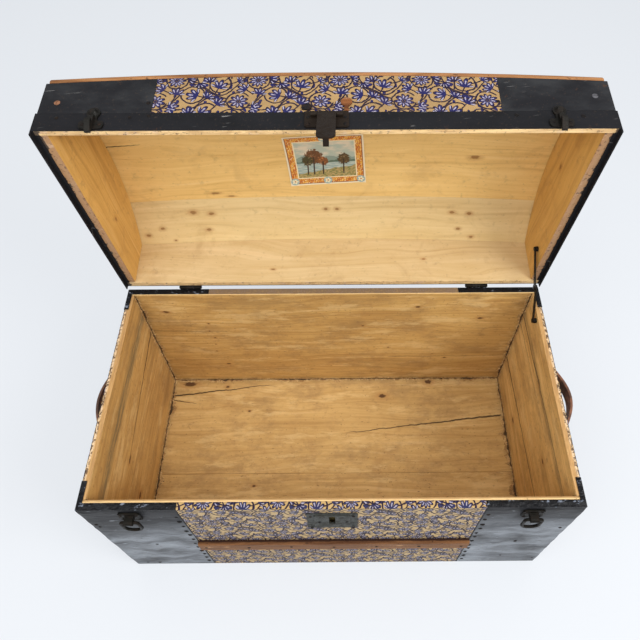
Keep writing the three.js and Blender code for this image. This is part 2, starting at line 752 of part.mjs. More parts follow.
// Lid coverings: the printed sheet, the black end caps and the rim band
function addLidSheets(group) {
  const low = plank + seat;
  const high = low + tin;
  const middle = (low + high) / 2;
  const foot = lid_rim + band_height + seat;
  const across = between(arch_lines, -half_depth, half_depth);
  const faces = [[-half_depth, -half_depth + tin], [half_depth - tin, half_depth]];
  const print_x = panel_edge - seat;
  const print_xs = between(camber_lines, -print_x, print_x);
  add(group, 'lid_print', join(
    domeLayer(print_xs, across, low, high),
    ...faces.map((ys) => wallUnderDome(print_xs, ys, foot, middle)),
  ), printed_tin);
  for (const [side, sign] of [['left', -1], ['right', 1]]) {
    const edges = [sign * panel_edge, sign * half_length].sort((a, b) => a - b);
    const xs = between(camber_lines, ...edges);
    const end_xs = [sign * half_length, sign * (half_length - tin)].sort((a, b) => a - b);
    add(group, `lid_cap_${side}`, join(
      domeLayer(xs, across, low, high),
      ...faces.map((ys) => wallUnderDome(xs, ys, foot, middle)),
      wallUnderDome(end_xs, across, foot, middle),
    ), black_iron);
  }
  const band_top = lid_rim + band_height;
  const hollow_x = half_length - tin;
  const hollow_y = half_depth - tin;
  const band_x = half_length + band_stand;
  const ring = cut(
    block(-band_x, band_x, -half_depth, half_depth, lid_rim, band_top),
    block(-hollow_x, hollow_x, -hollow_y, hollow_y, lid_rim - overrun, band_top + overrun),
  );
  const folds = [-1, 1].map((sign) => block(sign * half_length, sign * (half_length - band_fold),
    -board_y + lid_front_board, board_y - lid_board, lid_rim, lid_rim + tin));
  const laps = [-1, 1].map((sign) => block(sign * (half_length + seat), sign * band_x,
    -half_depth, half_depth, lid_rim - band_lap, lid_rim + tin));
  add(group, 'lid_band', join(ring, ...folds, ...laps), black_iron);
}

// Long slats over the dome: along the front edge, the crown and the back edge
function addLidSlats(group) {
  const low = plank + seat * 2 + tin;
  const reach = half_length - lid_slat_inset;
  const xs = between(camber_lines, -reach, reach);
  const half_width = lid_slat_width / 2;
  const edge = half_depth - half_width;
  const places = [['front', -edge], ['crown', 0], ['back', edge]];
  for (const [name, place] of places) {
    const ys = [
      place - half_width,
      ...between(arch_lines, place - half_width + slat_chamfer, place + half_width - slat_chamfer),
      place + half_width,
    ];
    const eased = (y) => (Math.abs(y - place) > half_width - slat_chamfer / 2 ? slat_chamfer : 0);
    const top = (x, y) => domeHeight(x, y, low + lid_slat_thickness - eased(y));
    const slat = surfaceBlock(xs, ys, (x, y) => domeHeight(x, y, low), top);
    add(group, `lid_slat_${name}`, slat, slat_wood);
  }
}

// Hasp: the plate with its pin, and the flap, which rests a little raised
function addHasp(group) {
  const back = -half_depth - seat;
  const half_plate = hasp_plate_width / 2;
  const half_flap = hasp_flap_width / 2;
  const inner = half_flap + hasp_knuckle_gap;
  const outer = inner + hasp_knuckle_width;
  const plate = roundedOutline(-half_plate, half_plate, lid_rim + hasp_plate_foot,
    lid_rim + hasp_plate_top, lock_corner);
  const knuckles = [[-outer, -inner], [inner, outer]].flatMap((span) => [
    block(...span, back - hasp_plate_thickness / 2, hasp_pin_y,
      hasp_pin_z - hasp_barrel_radius, hasp_pin_z + hasp_barrel_radius),
    rodAlongX(hasp_barrel_radius, ...span, hasp_pin_y, hasp_pin_z),
  ]);
  const relief = rodAlongX(hasp_barrel_radius + seat, -inner, inner, hasp_pin_y, hasp_pin_z);
  add(group, 'hasp_plate', join(
    cut(join(extrudeAlongY(plate, back - hasp_plate_thickness, back), ...knuckles), relief),
    rodAlongX(hasp_pin_radius, -outer, outer, hasp_pin_y, hasp_pin_z),
  ), dark_iron);

  const swing = new THREE.Group();
  swing.position.set(0, hasp_pin_y, hasp_pin_z);
  swing.rotation.x = -THREE.MathUtils.degToRad(hasp_raise_degrees);
  group.add(swing);
  const leaf = tongueOutline(half_flap, -hasp_flap_length, 0, hasp_flap_corner);
  const lug_foot = lug_inset - hasp_flap_length;
  const lug_root = -hasp_flap_thickness / 2;
  const lug = block(-lug_width / 2, lug_width / 2, lug_root, lug_length, lug_foot, lug_foot + lug_height);
  const hole_y = -half_depth + bolt_rod_place - hasp_pin_y;
  add(swing, 'hasp_flap', cut(
    join(
      extrudeAlongY(leaf, -hasp_flap_thickness, 0),
      rodAlongX(hasp_barrel_radius, -half_flap, half_flap, 0, 0),
      lug,
    ),
    rodAlongX(hasp_pin_radius + hasp_pin_clearance, -half_flap - overrun, half_flap + overrun, 0, 0),
    rodAlongX(lug_hole_radius, -lug_width, lug_width, hole_y, lug_middle - hasp_pin_z),
  ), dark_iron);
}

const trunk = new THREE.Group();
addBodyBoards(trunk);
addBodySheets(trunk);
addBodySlats(trunk);
addLock(trunk);

// The lid is modelled closed, in the trunk's own frame, and turned open about the hinge pins
const lid = new THREE.Group();
lid.position.set(0, hinge_y, hinge_z);
lid.rotation.x = -lid_open_angle;
trunk.add(lid);
const closed_lid = new THREE.Group();
closed_lid.position.set(0, -hinge_y, -hinge_z);
lid.add(closed_lid);
addLidBoards(closed_lid);
addLidSheets(closed_lid);
addLidSlats(closed_lid);
addHasp(closed_lid);

for (const [side, sign] of [['left', -1], ['right', 1]]) {
  addBailBase(trunk, side, sign * draw_bolt_place);
  addBail(trunk, side, sign * draw_bolt_place);
  addCatch(closed_lid, side, sign * draw_bolt_place);
  addHandle(trunk, side, sign, sign < 0 ? strap_bow_left : strap_bow_right);
  add(trunk, `hinge_leaf_body_${side}`, hingeLeaf(sign * hinge_place, -1), dark_iron);
  add(closed_lid, `hinge_leaf_lid_${side}`, hingeLeaf(sign * hinge_place, 1), dark_iron);
  addHingePin(trunk, side, sign * hinge_place);
}

const foot_stud = stayStud(stay_foot.x, stay_foot.y, stay_washer_thickness, inner_x, lower_plane);
add(trunk, 'stay_stud_body', foot_stud, dark_iron);
const head_washer = lid_inner_x - upper_plane - stay_arm_thickness - seat;
const head_stud = stayStud(stay_head_closed.x, stay_head_closed.y, head_washer, lid_inner_x,
  upper_plane);
add(closed_lid, 'stay_stud_lid', head_stud, dark_iron);
addStayLowerArm(trunk);
addStayUpperArm(trunk);

export default trunk;
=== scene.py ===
"""Dome top trunk with its lid open: finishes, small fittings, floor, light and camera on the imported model."""

import json
import logging
import math
import random
from dataclasses import dataclass
from enum import Enum

import bpy
from mathutils import Matrix, Vector, noise

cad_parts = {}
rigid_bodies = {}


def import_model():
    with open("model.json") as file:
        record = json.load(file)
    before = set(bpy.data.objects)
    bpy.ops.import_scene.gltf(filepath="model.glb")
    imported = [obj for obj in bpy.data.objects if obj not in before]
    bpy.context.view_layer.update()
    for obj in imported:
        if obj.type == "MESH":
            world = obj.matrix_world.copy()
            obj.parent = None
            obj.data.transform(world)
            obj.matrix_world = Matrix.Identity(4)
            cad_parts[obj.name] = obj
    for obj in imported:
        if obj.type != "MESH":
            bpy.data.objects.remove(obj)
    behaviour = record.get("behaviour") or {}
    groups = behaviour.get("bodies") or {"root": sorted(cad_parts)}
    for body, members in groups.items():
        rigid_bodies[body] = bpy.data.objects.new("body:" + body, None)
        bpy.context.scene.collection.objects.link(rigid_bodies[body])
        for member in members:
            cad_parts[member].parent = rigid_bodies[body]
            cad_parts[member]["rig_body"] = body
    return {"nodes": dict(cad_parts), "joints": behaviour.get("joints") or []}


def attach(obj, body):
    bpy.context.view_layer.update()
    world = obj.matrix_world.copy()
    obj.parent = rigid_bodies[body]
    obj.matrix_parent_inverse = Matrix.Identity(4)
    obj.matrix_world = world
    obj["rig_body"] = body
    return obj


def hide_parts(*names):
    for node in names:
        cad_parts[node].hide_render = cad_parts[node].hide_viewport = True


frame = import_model()

LOG = logging.getLogger("trunk")
MM = 0.001
TURN = 2 * math.pi
SHARP = math.radians(35)
Colour = tuple[float, float, float]
Rgba = tuple[float, float, float, float]
Point = tuple[float, float, float]
Rows = tuple[tuple[float, ...], ...]
Number = "Signal | float"
Signals = tuple["Signal", ...]
Material = bpy.types.Material
Piece = bpy.types.Object


@dataclass(frozen=True)
class Hinge:
    """The lid's hinge, in millimetres, and how far the lid stands open."""

    across: float
    height: float
    opening: float

    def closed(self, point: Vector) -> Vector:
        """Where a point of the open lid lies once the lid is shut, in millimetres."""
        centre = Vector((0, self.across, self.height))
        return Matrix.Rotation(self.opening, 3, "X") @ (point - centre) + centre


def open_matrix() -> Matrix:
    """The turn, in metres, that takes a mesh modelled on the shut lid to the open lid."""
    centre = Vector((0, HINGE.across * MM, HINGE.height * MM))
    turn = Matrix.Rotation(-HINGE.opening, 4, "X")
    return Matrix.Translation(centre) @ turn @ Matrix.Translation(-centre)


def read_hinge() -> Hinge:
    """Take the lid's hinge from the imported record.

    Returns:
        The hinge's place and the lid's opening angle.
    """
    for joint in frame["joints"]:
        if joint["name"] == "lid_hinge":
            _, across, height = joint["pos_m"]
            return Hinge(across / MM, height / MM, math.radians(joint["range_deg"][1]))
    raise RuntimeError("the record has no lid_hinge")


HINGE = read_hinge()


@dataclass(frozen=True)
class BodyBox:
    """The body's outer and inner faces, in millimetres."""

    half_length: float = 406.5
    half_depth: float = 216.0
    top: float = 368.0
    inner_half_length: float = 393.0
    inner_front: float = -198.5
    inner_back: float = 202.5
    floor: float = 12.0


BOX = BodyBox()


@dataclass(frozen=True)
class Dome:
    """The lid's arched top in the shut lid, in millimetres."""

    radius: float = 468.4
    centre_height: float = 35.1
    camber: float = 14.0
    cover: float = 8.5

    def height(self, x: float, y: float, stand: float = 0.0) -> float:
        """Height of the arch at a place, a distance outside its inner face."""
        arch = math.sqrt((self.radius + stand) ** 2 - y * y)
        return self.centre_height + arch + self.camber * (1 - (x / BOX.half_length) ** 2)


DOME = Dome()


class Signal:
    """A number or colour that changes over a surface, written with ordinary sums."""

    def __init__(self, graph: "Graph", socket: bpy.types.NodeSocket) -> None:
        """Keep the socket that gives the value, and its graph."""
        self.graph = graph
        self.socket = socket

    def __add__(self, other: Number) -> "Signal":
        """Sum."""
        return self.graph.calc("ADD", self, other)

    def __sub__(self, other: Number) -> "Signal":
        """Difference."""
        return self.graph.calc("SUBTRACT", self, other)

    def __mul__(self, other: Number) -> "Signal":
        """Product."""
        return self.graph.calc("MULTIPLY", self, other)

    def __truediv__(self, other: Number) -> "Signal":
        """Quotient."""
        return self.graph.calc("DIVIDE", self, other)

    def __pow__(self, other: float) -> "Signal":
        """Power."""
        return self.graph.calc("POWER", self, other)

    def size(self) -> "Signal":
        """The value without its sign."""
        return self.graph.calc("ABSOLUTE", self)

    def sine(self) -> "Signal":
        """Sine of an angle in radians."""
        return self.graph.calc("SINE", self)

    def cosine(self) -> "Signal":
        """Cosine of an angle in radians."""
        return self.graph.calc("COSINE", self)

    def inverse(self) -> "Signal":
        """One less the value."""
        return self.graph.calc("SUBTRACT", 1.0, self)

    def most(self, other: Number) -> "Signal":
        """The greater of two values."""
        return self.graph.calc("MAXIMUM", self, other)

    def least(self, other: Number) -> "Signal":
        """The smaller of two values."""
        return self.graph.calc("MINIMUM", self, other)

    def wrap(self, half: float) -> "Signal":
        """The value repeated between minus and plus a half period."""
        return self.graph.calc("WRAP", self, half, -half)

    def step(self, low: float, high: float) -> "Signal":
        """A smooth rise from zero at low to one at high, or a fall where high is the smaller."""
        made = self.graph.node("ShaderNodeMapRange", interpolation_type="SMOOTHSTEP")
        for socket, value in zip(made.inputs, (self, low, high, 0.0, 1.0)):
            self.graph.feed(socket, value)
        return Signal(self.graph, made.outputs[0])


class Graph:
    """A node tree with short calls for the nodes that the finishes use."""

    def __init__(self, tree: bpy.types.NodeTree) -> None:
        """Keep the tree that the nodes go into."""
        self.tree = tree

    def node(self, kind: str, **settings: object) -> bpy.types.Node:
        """Add one node.

        Args:
            kind: Blender's name for the node's type.
            settings: The node's own settings by name.

        Returns:
            The new node.
        """
        made = self.tree.nodes.new(kind)
        for name, value in settings.items():
            setattr(made, name, value)
        return made

    def feed(self, socket: bpy.types.NodeSocket, value: object) -> None:
        """Give a socket a signal or a plain value."""
        if isinstance(value, Signal):
            self.tree.links.new(value.socket, socket)
        elif isinstance(value, tuple) and socket.type == "RGBA":
            socket.default_value = (*value[:3], 1.0)
        else:
            socket.default_value = value

    def calc(self, operation: str, *values: Number) -> Signal:
        """Do one sum on up to three values.

        Args:
            operation: The Math node's operation.
            values: Signals or numbers.

        Returns:
            The result.
        """
        made = self.node("ShaderNodeMath", operation=operation)
        for socket, value in zip(made.inputs, values):
            self.feed(socket, value)
        return Signal(self, made.outputs[0])

    def vector(self, *values: Number) -> Signal:
        """Three numbers as one vector."""
        made = self.node("ShaderNodeCombineXYZ")
        for socket, value in zip(made.inputs, values):
            self.feed(socket, value)
        return Signal(self, made.outputs[0])

    def parts(self, vector: Signal) -> Signals:
        """The three numbers of a vector."""
        made = self.node("ShaderNodeSeparateXYZ")
        self.feed(made.inputs[0], vector)
        return tuple(Signal(self, socket) for socket in made.outputs)

    def noise(
        self, vector: Signal, scale: float = 1.0, detail: float = 2.0, rough: float = 0.5, twist: float = 0.0
    ) -> Signal:
        """Cloudy noise about one half.

        Args:
            vector: The place on the surface.
            scale: How many lumps go into one unit.
            detail: How many finer layers it has.
            rough: How strong the finer layers are.
            twist: How far it is swirled.

        Returns:
            The noise.
        """
        made = self.node("ShaderNodeTexNoise")
        self.feed(made.inputs["Vector"], vector)
        self.feed(made.inputs["Scale"], scale)
        self.feed(made.inputs["Detail"], detail)
        self.feed(made.inputs["Roughness"], rough)
        self.feed(made.inputs["Distortion"], twist)
        return Signal(self, made.outputs[0])

    def clouds(self, *place: Number, detail: float, rough: float = 0.5) -> Signal:
        """Cloudy noise at a place given by its three numbers."""
        return self.noise(self.vector(*place), detail=detail, rough=rough)

    def distance(self, across: Signal, up: Signal) -> Signal:
        """How far a place is from a middle, by its two distances."""
        return self.calc("SQRT", across * across + up * up)

    def mix(self, share: Number, first: object, second: object) -> Signal:
        """Blend two colours.

        Args:
            share: How much of the second shows.
            first: The colour below.
            second: The colour above.

        Returns:
            The blended colour.
        """
        made = self.node("ShaderNodeMix", data_type="RGBA")
        for index, value in ((0, share), (6, first), (7, second)):
            self.feed(made.inputs[index], value)
        return Signal(self, made.outputs[2])

    def coats(self, colour: object, *coats: tuple[Signal, object]) -> Signal:
        """Lay paints over a colour one after another.

        Args:
            colour: The colour below.
            coats: Each coat's mask and its paint.

        Returns:
            The colour on top.
        """
        for mask, paint in coats:
            colour = self.mix(mask, colour, paint)
        return colour

    def bump(self, height: Signal, depth: float, strength: float = 1.0) -> Signal:
        """Turn a height into a surface normal.

        Args:
            height: The height, from zero to one.
            depth: What a height of one stands for, in millimetres.
            strength: How strongly it shows.

        Returns:
            The normal.
        """
        made = self.node("ShaderNodeBump")
        made.inputs["Strength"].default_value = strength
        made.inputs["Distance"].default_value = depth * MM
        self.feed(made.inputs["Height"], height)
        return Signal(self, made.outputs[0])

    def place(self, lid: bool) -> Signal:
        """The place on the object in millimetres, on the lid as if it were shut.

        Args:
            lid: Whether the surface moves with the lid.

        Returns:
            The place as a vector.
        """
        source = self.node("ShaderNodeTexCoord")
        made = self.node("ShaderNodeMapping")
        made.inputs["Scale"].default_value = (1 / MM,) * 3
        if lid:
            made.inputs["Rotation"].default_value = (HINGE.opening, 0, 0)
            made.inputs["Location"].default_value = HINGE.closed(Vector((0, 0, 0)))
        self.tree.links.new(source.outputs["Object"], made.inputs["Vector"])
        return Signal(self, made.outputs[0])


class Effect:
    """A node group that several finishes share, built once and placed with each one's own values."""

    title = ""
    takes: dict[str, object] = {}
    gives: tuple[str, ...] = ()

    def draw(self, graph: Graph, given: dict[str, Signal]) -> Signals:
        """Add the nodes of the effect.

        Args:
            graph: The group's own tree.
            given: The inputs by name.

        Returns:
            The outputs, in the order of gives.
        """
        raise NotImplementedError

    def tree(self) -> bpy.types.NodeTree:
        """Build the group at its first use.

        Returns:
            The group's tree.
        """
        if self.title in bpy.data.node_groups:
            return bpy.data.node_groups[self.title]
        tree = bpy.data.node_groups.new(self.title, "ShaderNodeTree")
        for name, value in self.takes.items():
            kind = "NodeSocketVector" if isinstance(value, tuple) else "NodeSocketFloat"
            tree.interface.new_socket(name, in_out="INPUT", socket_type=kind).default_value = value
        for name in self.gives:
            tree.interface.new_socket(name, in_out="OUTPUT", socket_type="NodeSocketFloat")
        graph = Graph(tree)
        entry = graph.node("NodeGroupInput")
        ending = graph.node("NodeGroupOutput")
        given = {name: Signal(graph, entry.outputs[name]) for name in self.takes}
        for socket, value in zip(ending.inputs, self.draw(graph, given)):
            graph.feed(socket, value)
        return tree

    def put(self, graph: Graph, *values: object) -> Signals:
        """Place the group in a finish.

        Args:
            graph: The finish's tree.
            values: The inputs in order; those left out keep what takes says.

        Returns:
            The group's outputs in order.
        """
        made = graph.node("ShaderNodeGroup", node_tree=self.tree())
        for socket, value in zip(made.inputs, values):
            graph.feed(socket, value)
        return tuple(Signal(graph, socket) for socket in made.outputs)


class WoodFigure(Effect):
    """Growth lines, fibre, streaks, broad tone and specks of an old softwood board, in millimetres."""

    title = "Wood Figure"
    takes = {"Along": 0.0, "Across": 0.0, "Deep": 0.0, "Seed": 0.0}
    gives = ("Lines", "Fibre", "Streaks", "Broad", "Specks")

    def draw(self, graph: Graph, given: dict[str, Signal]) -> Signals:
        """Stretch noise along the grain at several scales.

        Args:
            graph: The group's own tree.
            given: The inputs by name.

        Returns:
            Growth lines, fibre, streaks, broad tone and specks.
        """
        along, across, deep, seed = given.values()
        drift = graph.clouds(along / 330, across / 95, seed, detail=2) - 0.5
        wavy = across + drift * 70
        sway = graph.clouds(along / 150, wavy / 22, seed + 2, detail=2) - 0.5
        lines = ((wavy * 0.62 + sway * 9 + deep * 0.2).sine() * 0.5 + 0.5) ** 1.6
        fibre = graph.clouds(along / 60, wavy / 1.5, deep / 3 + seed, detail=2, rough=0.6)
        stretched = graph.vector(along / 420, wavy / 11, deep / 15 + seed * 1.3)
        streaks = graph.noise(stretched, detail=3, rough=0.6)
        broad = graph.clouds(along / 150, across / 75, seed * 1.7, detail=4, rough=0.6)
        speck = graph.clouds(along / 7, across / 4, seed * 2.3 + 5, detail=1)
        return lines, fibre, streaks, broad, speck.step(0.69, 0.75)


class Knot(Effect):
    """One knot or stain: its core and the darker wood round it."""

    title = "Knot"
    takes = {
        "Along": 0.0, "Across": 0.0, "Centre Along": 0.0, "Centre Across": 0.0, "Radius": 4.0,
        "Stretch": 1.5,
    }
    gives = ("Core", "Halo")

    def draw(self, graph: Graph, given: dict[str, Signal]) -> Signals:
        """Measure the distance from the knot's middle, with a ragged edge.

        Args:
            graph: The group's own tree.
            given: The inputs by name.

        Returns:
            The core and the halo.
        """
        along, across, middle, side, radius, stretch = given.values()
        ragged = graph.clouds(along / 6, across / 4, radius, detail=2) - 0.5
        far = graph.distance((along - middle) / stretch, across - side) / radius + ragged * 0.9
        return far.step(1.05, 0.6), far.step(2.6, 0.7)


class Crack(Effect):
    """One dark drying crack or seam between two places, thinning towards its end."""

    title = "Crack"
    takes = {
        "Along": 0.0, "Across": 0.0, "From": 0.0, "To": 100.0, "Start": 0.0, "End": 0.0, "Width": 1.5,
        "Waver": 13.0,
    }
    gives = ("Gap",)

    def draw(self, graph: Graph, given: dict[str, Signal]) -> Signals:
        """Follow a wavering line and darken what lies close to it.

        Args:
            graph: The group's own tree.
            given: The inputs by name.

        Returns:
            The gap's mask.
        """
        along, across, begin, finish, start, end, width, waver = given.values()
        share = (along - begin) / (finish - begin)
        wave = graph.clouds(along / 45, begin, start, detail=5, rough=0.65) - 0.5
        line = start + (end - start) * share + wave * waver
        reach = width * (share * 0.75).inverse()
        inside = share.step(-0.01, 0.01) * share.step(1.01, 0.93)
        thick = graph.clouds(along / 14, begin, start + 7, detail=2) + 0.5
        off = (across - line).size() / (reach * thick).most(0.05)
        return (off.step(0.85, 0.45) * inside,)


class JointShadeAndGrime(Effect):
    """Painted corner shade, dark gaps and pale splinters along the inner corners of a box, by the distance to
    each wall.
    """

    title = "Joint Grime"
    takes = {"Place": (0.0, 0.0, 0.0), "Ends": 1.0, "Sides": 1.0, "Bottom": 1.0, "Width": 6.0}
    gives = ("Shade", "Dark", "Splinter")

    def draw(self, graph: Graph, given: dict[str, Signal]) -> Signals:
        """Let the painted corner shade and the dark gaps fade away from the walls that count, with a torn edge.

        Args:
            graph: The group's own tree.
            given: The inputs by name.

        Returns:
            The soft painted corner shade, the dark gaps and the splinters.
        """
        place, ends, sides, bottom, width = given.values()
        x, y, z = graph.parts(place)
        near = None
        for share, gap in (
            (ends, x.size() * -1.0 + BOX.inner_half_length),
            (sides, y - BOX.inner_front),
            (sides, y * -1.0 + BOX.inner_back),
            (bottom, z - BOX.floor),
        ):
            part = graph.calc("EXPONENT", gap.most(0.0) / width * -1.0) * share
            near = part if near is None else near.most(part)
        torn = graph.noise(place, 0.085, 5, 0.7) - 0.5
        fine = graph.noise(place, 0.33, 3, 0.7) - 0.5
        edge = near + torn * 1.1 + fine * 0.5
        splinter = edge.step(0.5, 0.62) * edge.step(0.8, 0.7) * fine.step(0.02, 0.12) * near.step(0.15, 0.3)
        return near, edge.step(0.8, 0.95) * near.step(0.2, 0.4), splinter


class Scuffs(Effect):
    """Scratches, smears and dents of painted sheet metal, in millimetres."""

    title = "Scuffs"
    takes = {"Place": (0.0, 0.0, 0.0), "Seed": 0.0}
    gives = ("Scratch", "Smear", "Dents", "Pits")

    def draw(self, graph: Graph, given: dict[str, Signal]) -> Signals:
        """Cut stretched noise at a high level for scratches and leave the rest soft.

        Args:
            graph: The group's own tree.
            given: The inputs by name.

        Returns:
            Scratches, smears, dents and pits.
        """
        place, seed = given.values()
        x, y, z = graph.parts(place)
        slant = z + y * 0.6
        lines = graph.clouds(x / 34 + slant / 60, slant / 1.3 - x / 9, seed, detail=1)
        where = graph.clouds(x / 80, slant / 50, seed + 3, detail=2)
        scratch = lines.step(0.73, 0.77) * where.step(0.5, 0.6)
        smear = graph.clouds(x / 70, slant / 38, seed + 7, detail=5, rough=0.62)
        dents = graph.clouds(x / 85, slant / 30, seed + 11, detail=1.5)
        pits = graph.noise(place, 0.35, 3, 0.6)
        return scratch, smear, dents, pits


@dataclass(frozen=True)
class Tile:
    """The size of one repeat of the printed vine, in millimetres."""

    length: float = 118.0
    height: float = 92.0


TILE = Tile()


class RingFlower(Effect):
    """A many petalled flower inside an open ring, repeated with the tile."""

    title = "Ring Flower"
    takes = {"U": 0.0, "V": 0.0, "Centre U": 0.0, "Centre V": 0.0, "Turn": 0.0, "Ring": 16.5, "Petals": 9.0}
    gives = ("Ink", "Line", "Pale")

    def draw(self, graph: Graph, given: dict[str, Signal]) -> Signals:
        """Draw petals by angle and distance, and the ring about them.

        Args:
            graph: The group's own tree.
            given: The inputs by name.

        Returns:
            Solid ink, drawn line and pale streaks.
        """
        u, v, middle, height, turn, ring, petals = given.values()
        du = (u - middle).wrap(TILE.length / 2)
        dv = (v - height).wrap(TILE.height / 2)
        far = graph.distance(du, dv)
        angle = graph.calc("ARCTAN2", dv, du) + turn
        lobe = (angle * petals * 0.5).cosine().size()
        uneven = (angle * 2 + 1.3).sine() * 0.9
        petal = far - (lobe**0.55) * 7.2 - 6.2 - uneven
        dots = (far * 2.1).sine() * (angle * petals).sine()
        ink = petal.step(1.2, -2.0) * far.step(2.0, 3.4)
        pale = lobe.step(0.8, 0.93) * far.step(4.0, 5.0) * far.step(10.2, 9.2)
        pale = pale.most(dots.step(0.6, 0.8) * far.step(7.4, 6.6) * far.step(3.0, 3.6) * 0.8)
        gap = (angle - turn * 1.7).cosine().step(0.95, 0.89)
        line = (far - ring - (angle * 0.5).sine() * 1.3).size().step(1.6, 0.9) * gap
        return ink.most(far.step(2.2, 1.0)), line, pale


class LeafSpray(Effect):
    """A lobed leaf or fan flower on a short stalk, repeated with the tile."""

    title = "Leaf Spray"
    takes = {"U": 0.0, "V": 0.0, "Centre U": 0.0, "Centre V": 0.0, "Turn": 0.0, "Reach": 14.0, "Ring": 0.0}
    gives = ("Ink", "Line", "Pale")

    def draw(self, graph: Graph, given: dict[str, Signal]) -> Signals:
        """Draw lobes that fan out from a point, with a stalk behind it and a ring where one is asked for.

        Args:
            graph: The group's own tree.
            given: The inputs by name.

        Returns:
            Solid ink, drawn line and pale streaks.
        """
        u, v, middle, height, turn, reach, ring = given.values()
        du = (u - middle).wrap(TILE.length / 2)
        dv = (v - height).wrap(TILE.height / 2)
        p = du * turn.cosine() + dv * turn.sine()
        q = dv * turn.cosine() - du * turn.sine()
        back = p + reach * 0.45
        far = graph.distance(back, q)
        angle = graph.calc("ARCTAN2", q, back)
        lobe = (angle * 5.2).cosine().size()
        fan = angle.size().step(1.5, 1.25)
        edge = far - reach * ((lobe**0.5) * 0.56 + 0.44) * (angle * 0.62).cosine()
        ink = edge.step(1.2, -2.0) * fan
        pale = lobe.step(0.84, 0.95) * (far / reach).step(0.34, 0.44) * (far / reach).step(0.8, 0.7) * fan
        stalk = (q - back * back * 0.012).size().step(1.4, 0.75)
        stalk = stalk * back.step(-14.0, -13.0) * back.step(1.0, 0.0)
        around = (graph.distance(p, q) - ring).size().step(1.6, 0.9) * ring.step(1.0, 2.0)
        gap = graph.calc("ARCTAN2", q, p).size().step(0.2, 0.4)
        return ink, stalk.most(around * gap), pale


class Stem(Effect):
    """A winding stem with small leaves on both sides, repeated with the tile."""

    title = "Stem"
    takes = {"U": 0.0, "V": 0.0, "Base": 0.0, "Phase": 0.0}
    gives = ("Ink", "Line")

    def draw(self, graph: Graph, given: dict[str, Signal]) -> Signals:
        """Measure how far a place is from the stem's wave.

        Args:
            graph: The group's own tree.
            given: The inputs by name.

        Returns:
            The leaves' ink and the stem's line.
        """
        u, v, base, phase = given.values()
        angle = u * (TURN / TILE.length) + phase
        slope = angle.cosine() * 0.96 + (angle * 2).cosine() * 0.5
        off = (v - base - angle.sine() * 18 - (angle * 2).sine() * 4.7).wrap(TILE.height / 2)
        off = off / graph.calc("SQRT", slope * slope + 1)
        line = off.size().step(1.5, 0.8)
        cell = u.wrap(TILE.length / 12)
        side = (u * (TURN / TILE.length * 3)).sine() * 1000
        lean = off - side.most(-1.0).least(1.0) * 4.6
        leaf = (cell + lean * 0.7) * (cell + lean * 0.7) / 14 + lean * lean / 10
        return leaf.step(1.1, 0.75), line


class VinePrint(Effect):
    """A scrolling floral print: ring flowers, leaf sprays and winding stems."""

    title = "Vine Print"
    takes = {"U": 0.0, "V": 0.0}
    gives = ("Ink", "Line", "Pale")
    flowers = ((30, 62, 0.3, 16.5, 9), (56, 12, 2.8, 16, 11))
    fans = ((81.6, 75, 165, 18, 16), (102.3, 41, 20, 19, 17), (2, 4, 75, 18, 15.5))
    leaves = (
        (3, 62, 60, 17), (56, 52, 10, 15), (53, 45, 190, 13), (59, 82, 80, 16), (106, 73, 50, 15),
        (10, 34, 115, 15), (19, 28, 60, 15), (38, 31, 88, 18), (79, 45, 95, 16), (30, 12, 30, 12),
        (78, 18, 20, 15), (103, 14, 100, 15), (72, 34, 200, 13), (34, 88, 150, 15), (92, 2, 300, 13),
        (60, 30, 60, 12),
    )
    stems = ((26.0, 0.2), (72.0, 0.95 * math.pi), (3.0, 1.55 * math.pi), (49.0, 0.55 * math.pi))

    def draw(self, graph: Graph, given: dict[str, Signal]) -> Signals:
        """Lay the motifs over each other on a slightly uneven sheet.

        Args:
            graph: The group's own tree.
            given: The inputs by name.

        Returns:
            Solid ink, drawn line and pale streaks.
        """
        u, v = given.values()
        sway = graph.clouds(u / 26, v / 26, 0.0, detail=1) - 0.5
        swell = graph.clouds(u / 5, v / 5, 4.0, detail=1) - 0.5
        u, v = u + sway * 6 + swell * 1.8, v + sway * 5 - swell * 1.8
        layers = []
        for flower in self.flowers:
            layers.append(RingFlower().put(graph, u, v, *flower))
        for a, b, turn, reach, ring in (*self.fans, *((*leaf, 0) for leaf in self.leaves)):
            layers.append(LeafSpray().put(graph, u, v, a, b, math.radians(turn), reach, ring))
        ink, line, pale = layers[0]
        for body, drawn, streak in layers[1:]:
            ink, line, pale = ink.most(body), line.most(drawn), pale.most(streak)
        inside = None
        rings = [(a, b, ring) for a, b, _, ring, _ in self.flowers]
        rings += [(a, b, ring) for a, b, _, _, ring in self.fans]
        for a, b, ring in rings:
            du, dv = (u - a).wrap(TILE.length / 2), (v - b).wrap(TILE.height / 2)
            within = graph.distance(du, dv).step(ring + 0.6, ring - 0.4)
            inside = within if inside is None else inside.most(within)
        for base, phase in self.stems:
            leaf, drawn = Stem().put(graph, u, v, base, phase)
            clear = inside.inverse()
            ink, line = ink.most(leaf * clear), line.most(drawn * clear)
        outline = (ink * 2 - 1).size().step(0.97, 0.7)
        return ink.step(0.35, 0.65), line.most(outline), pale


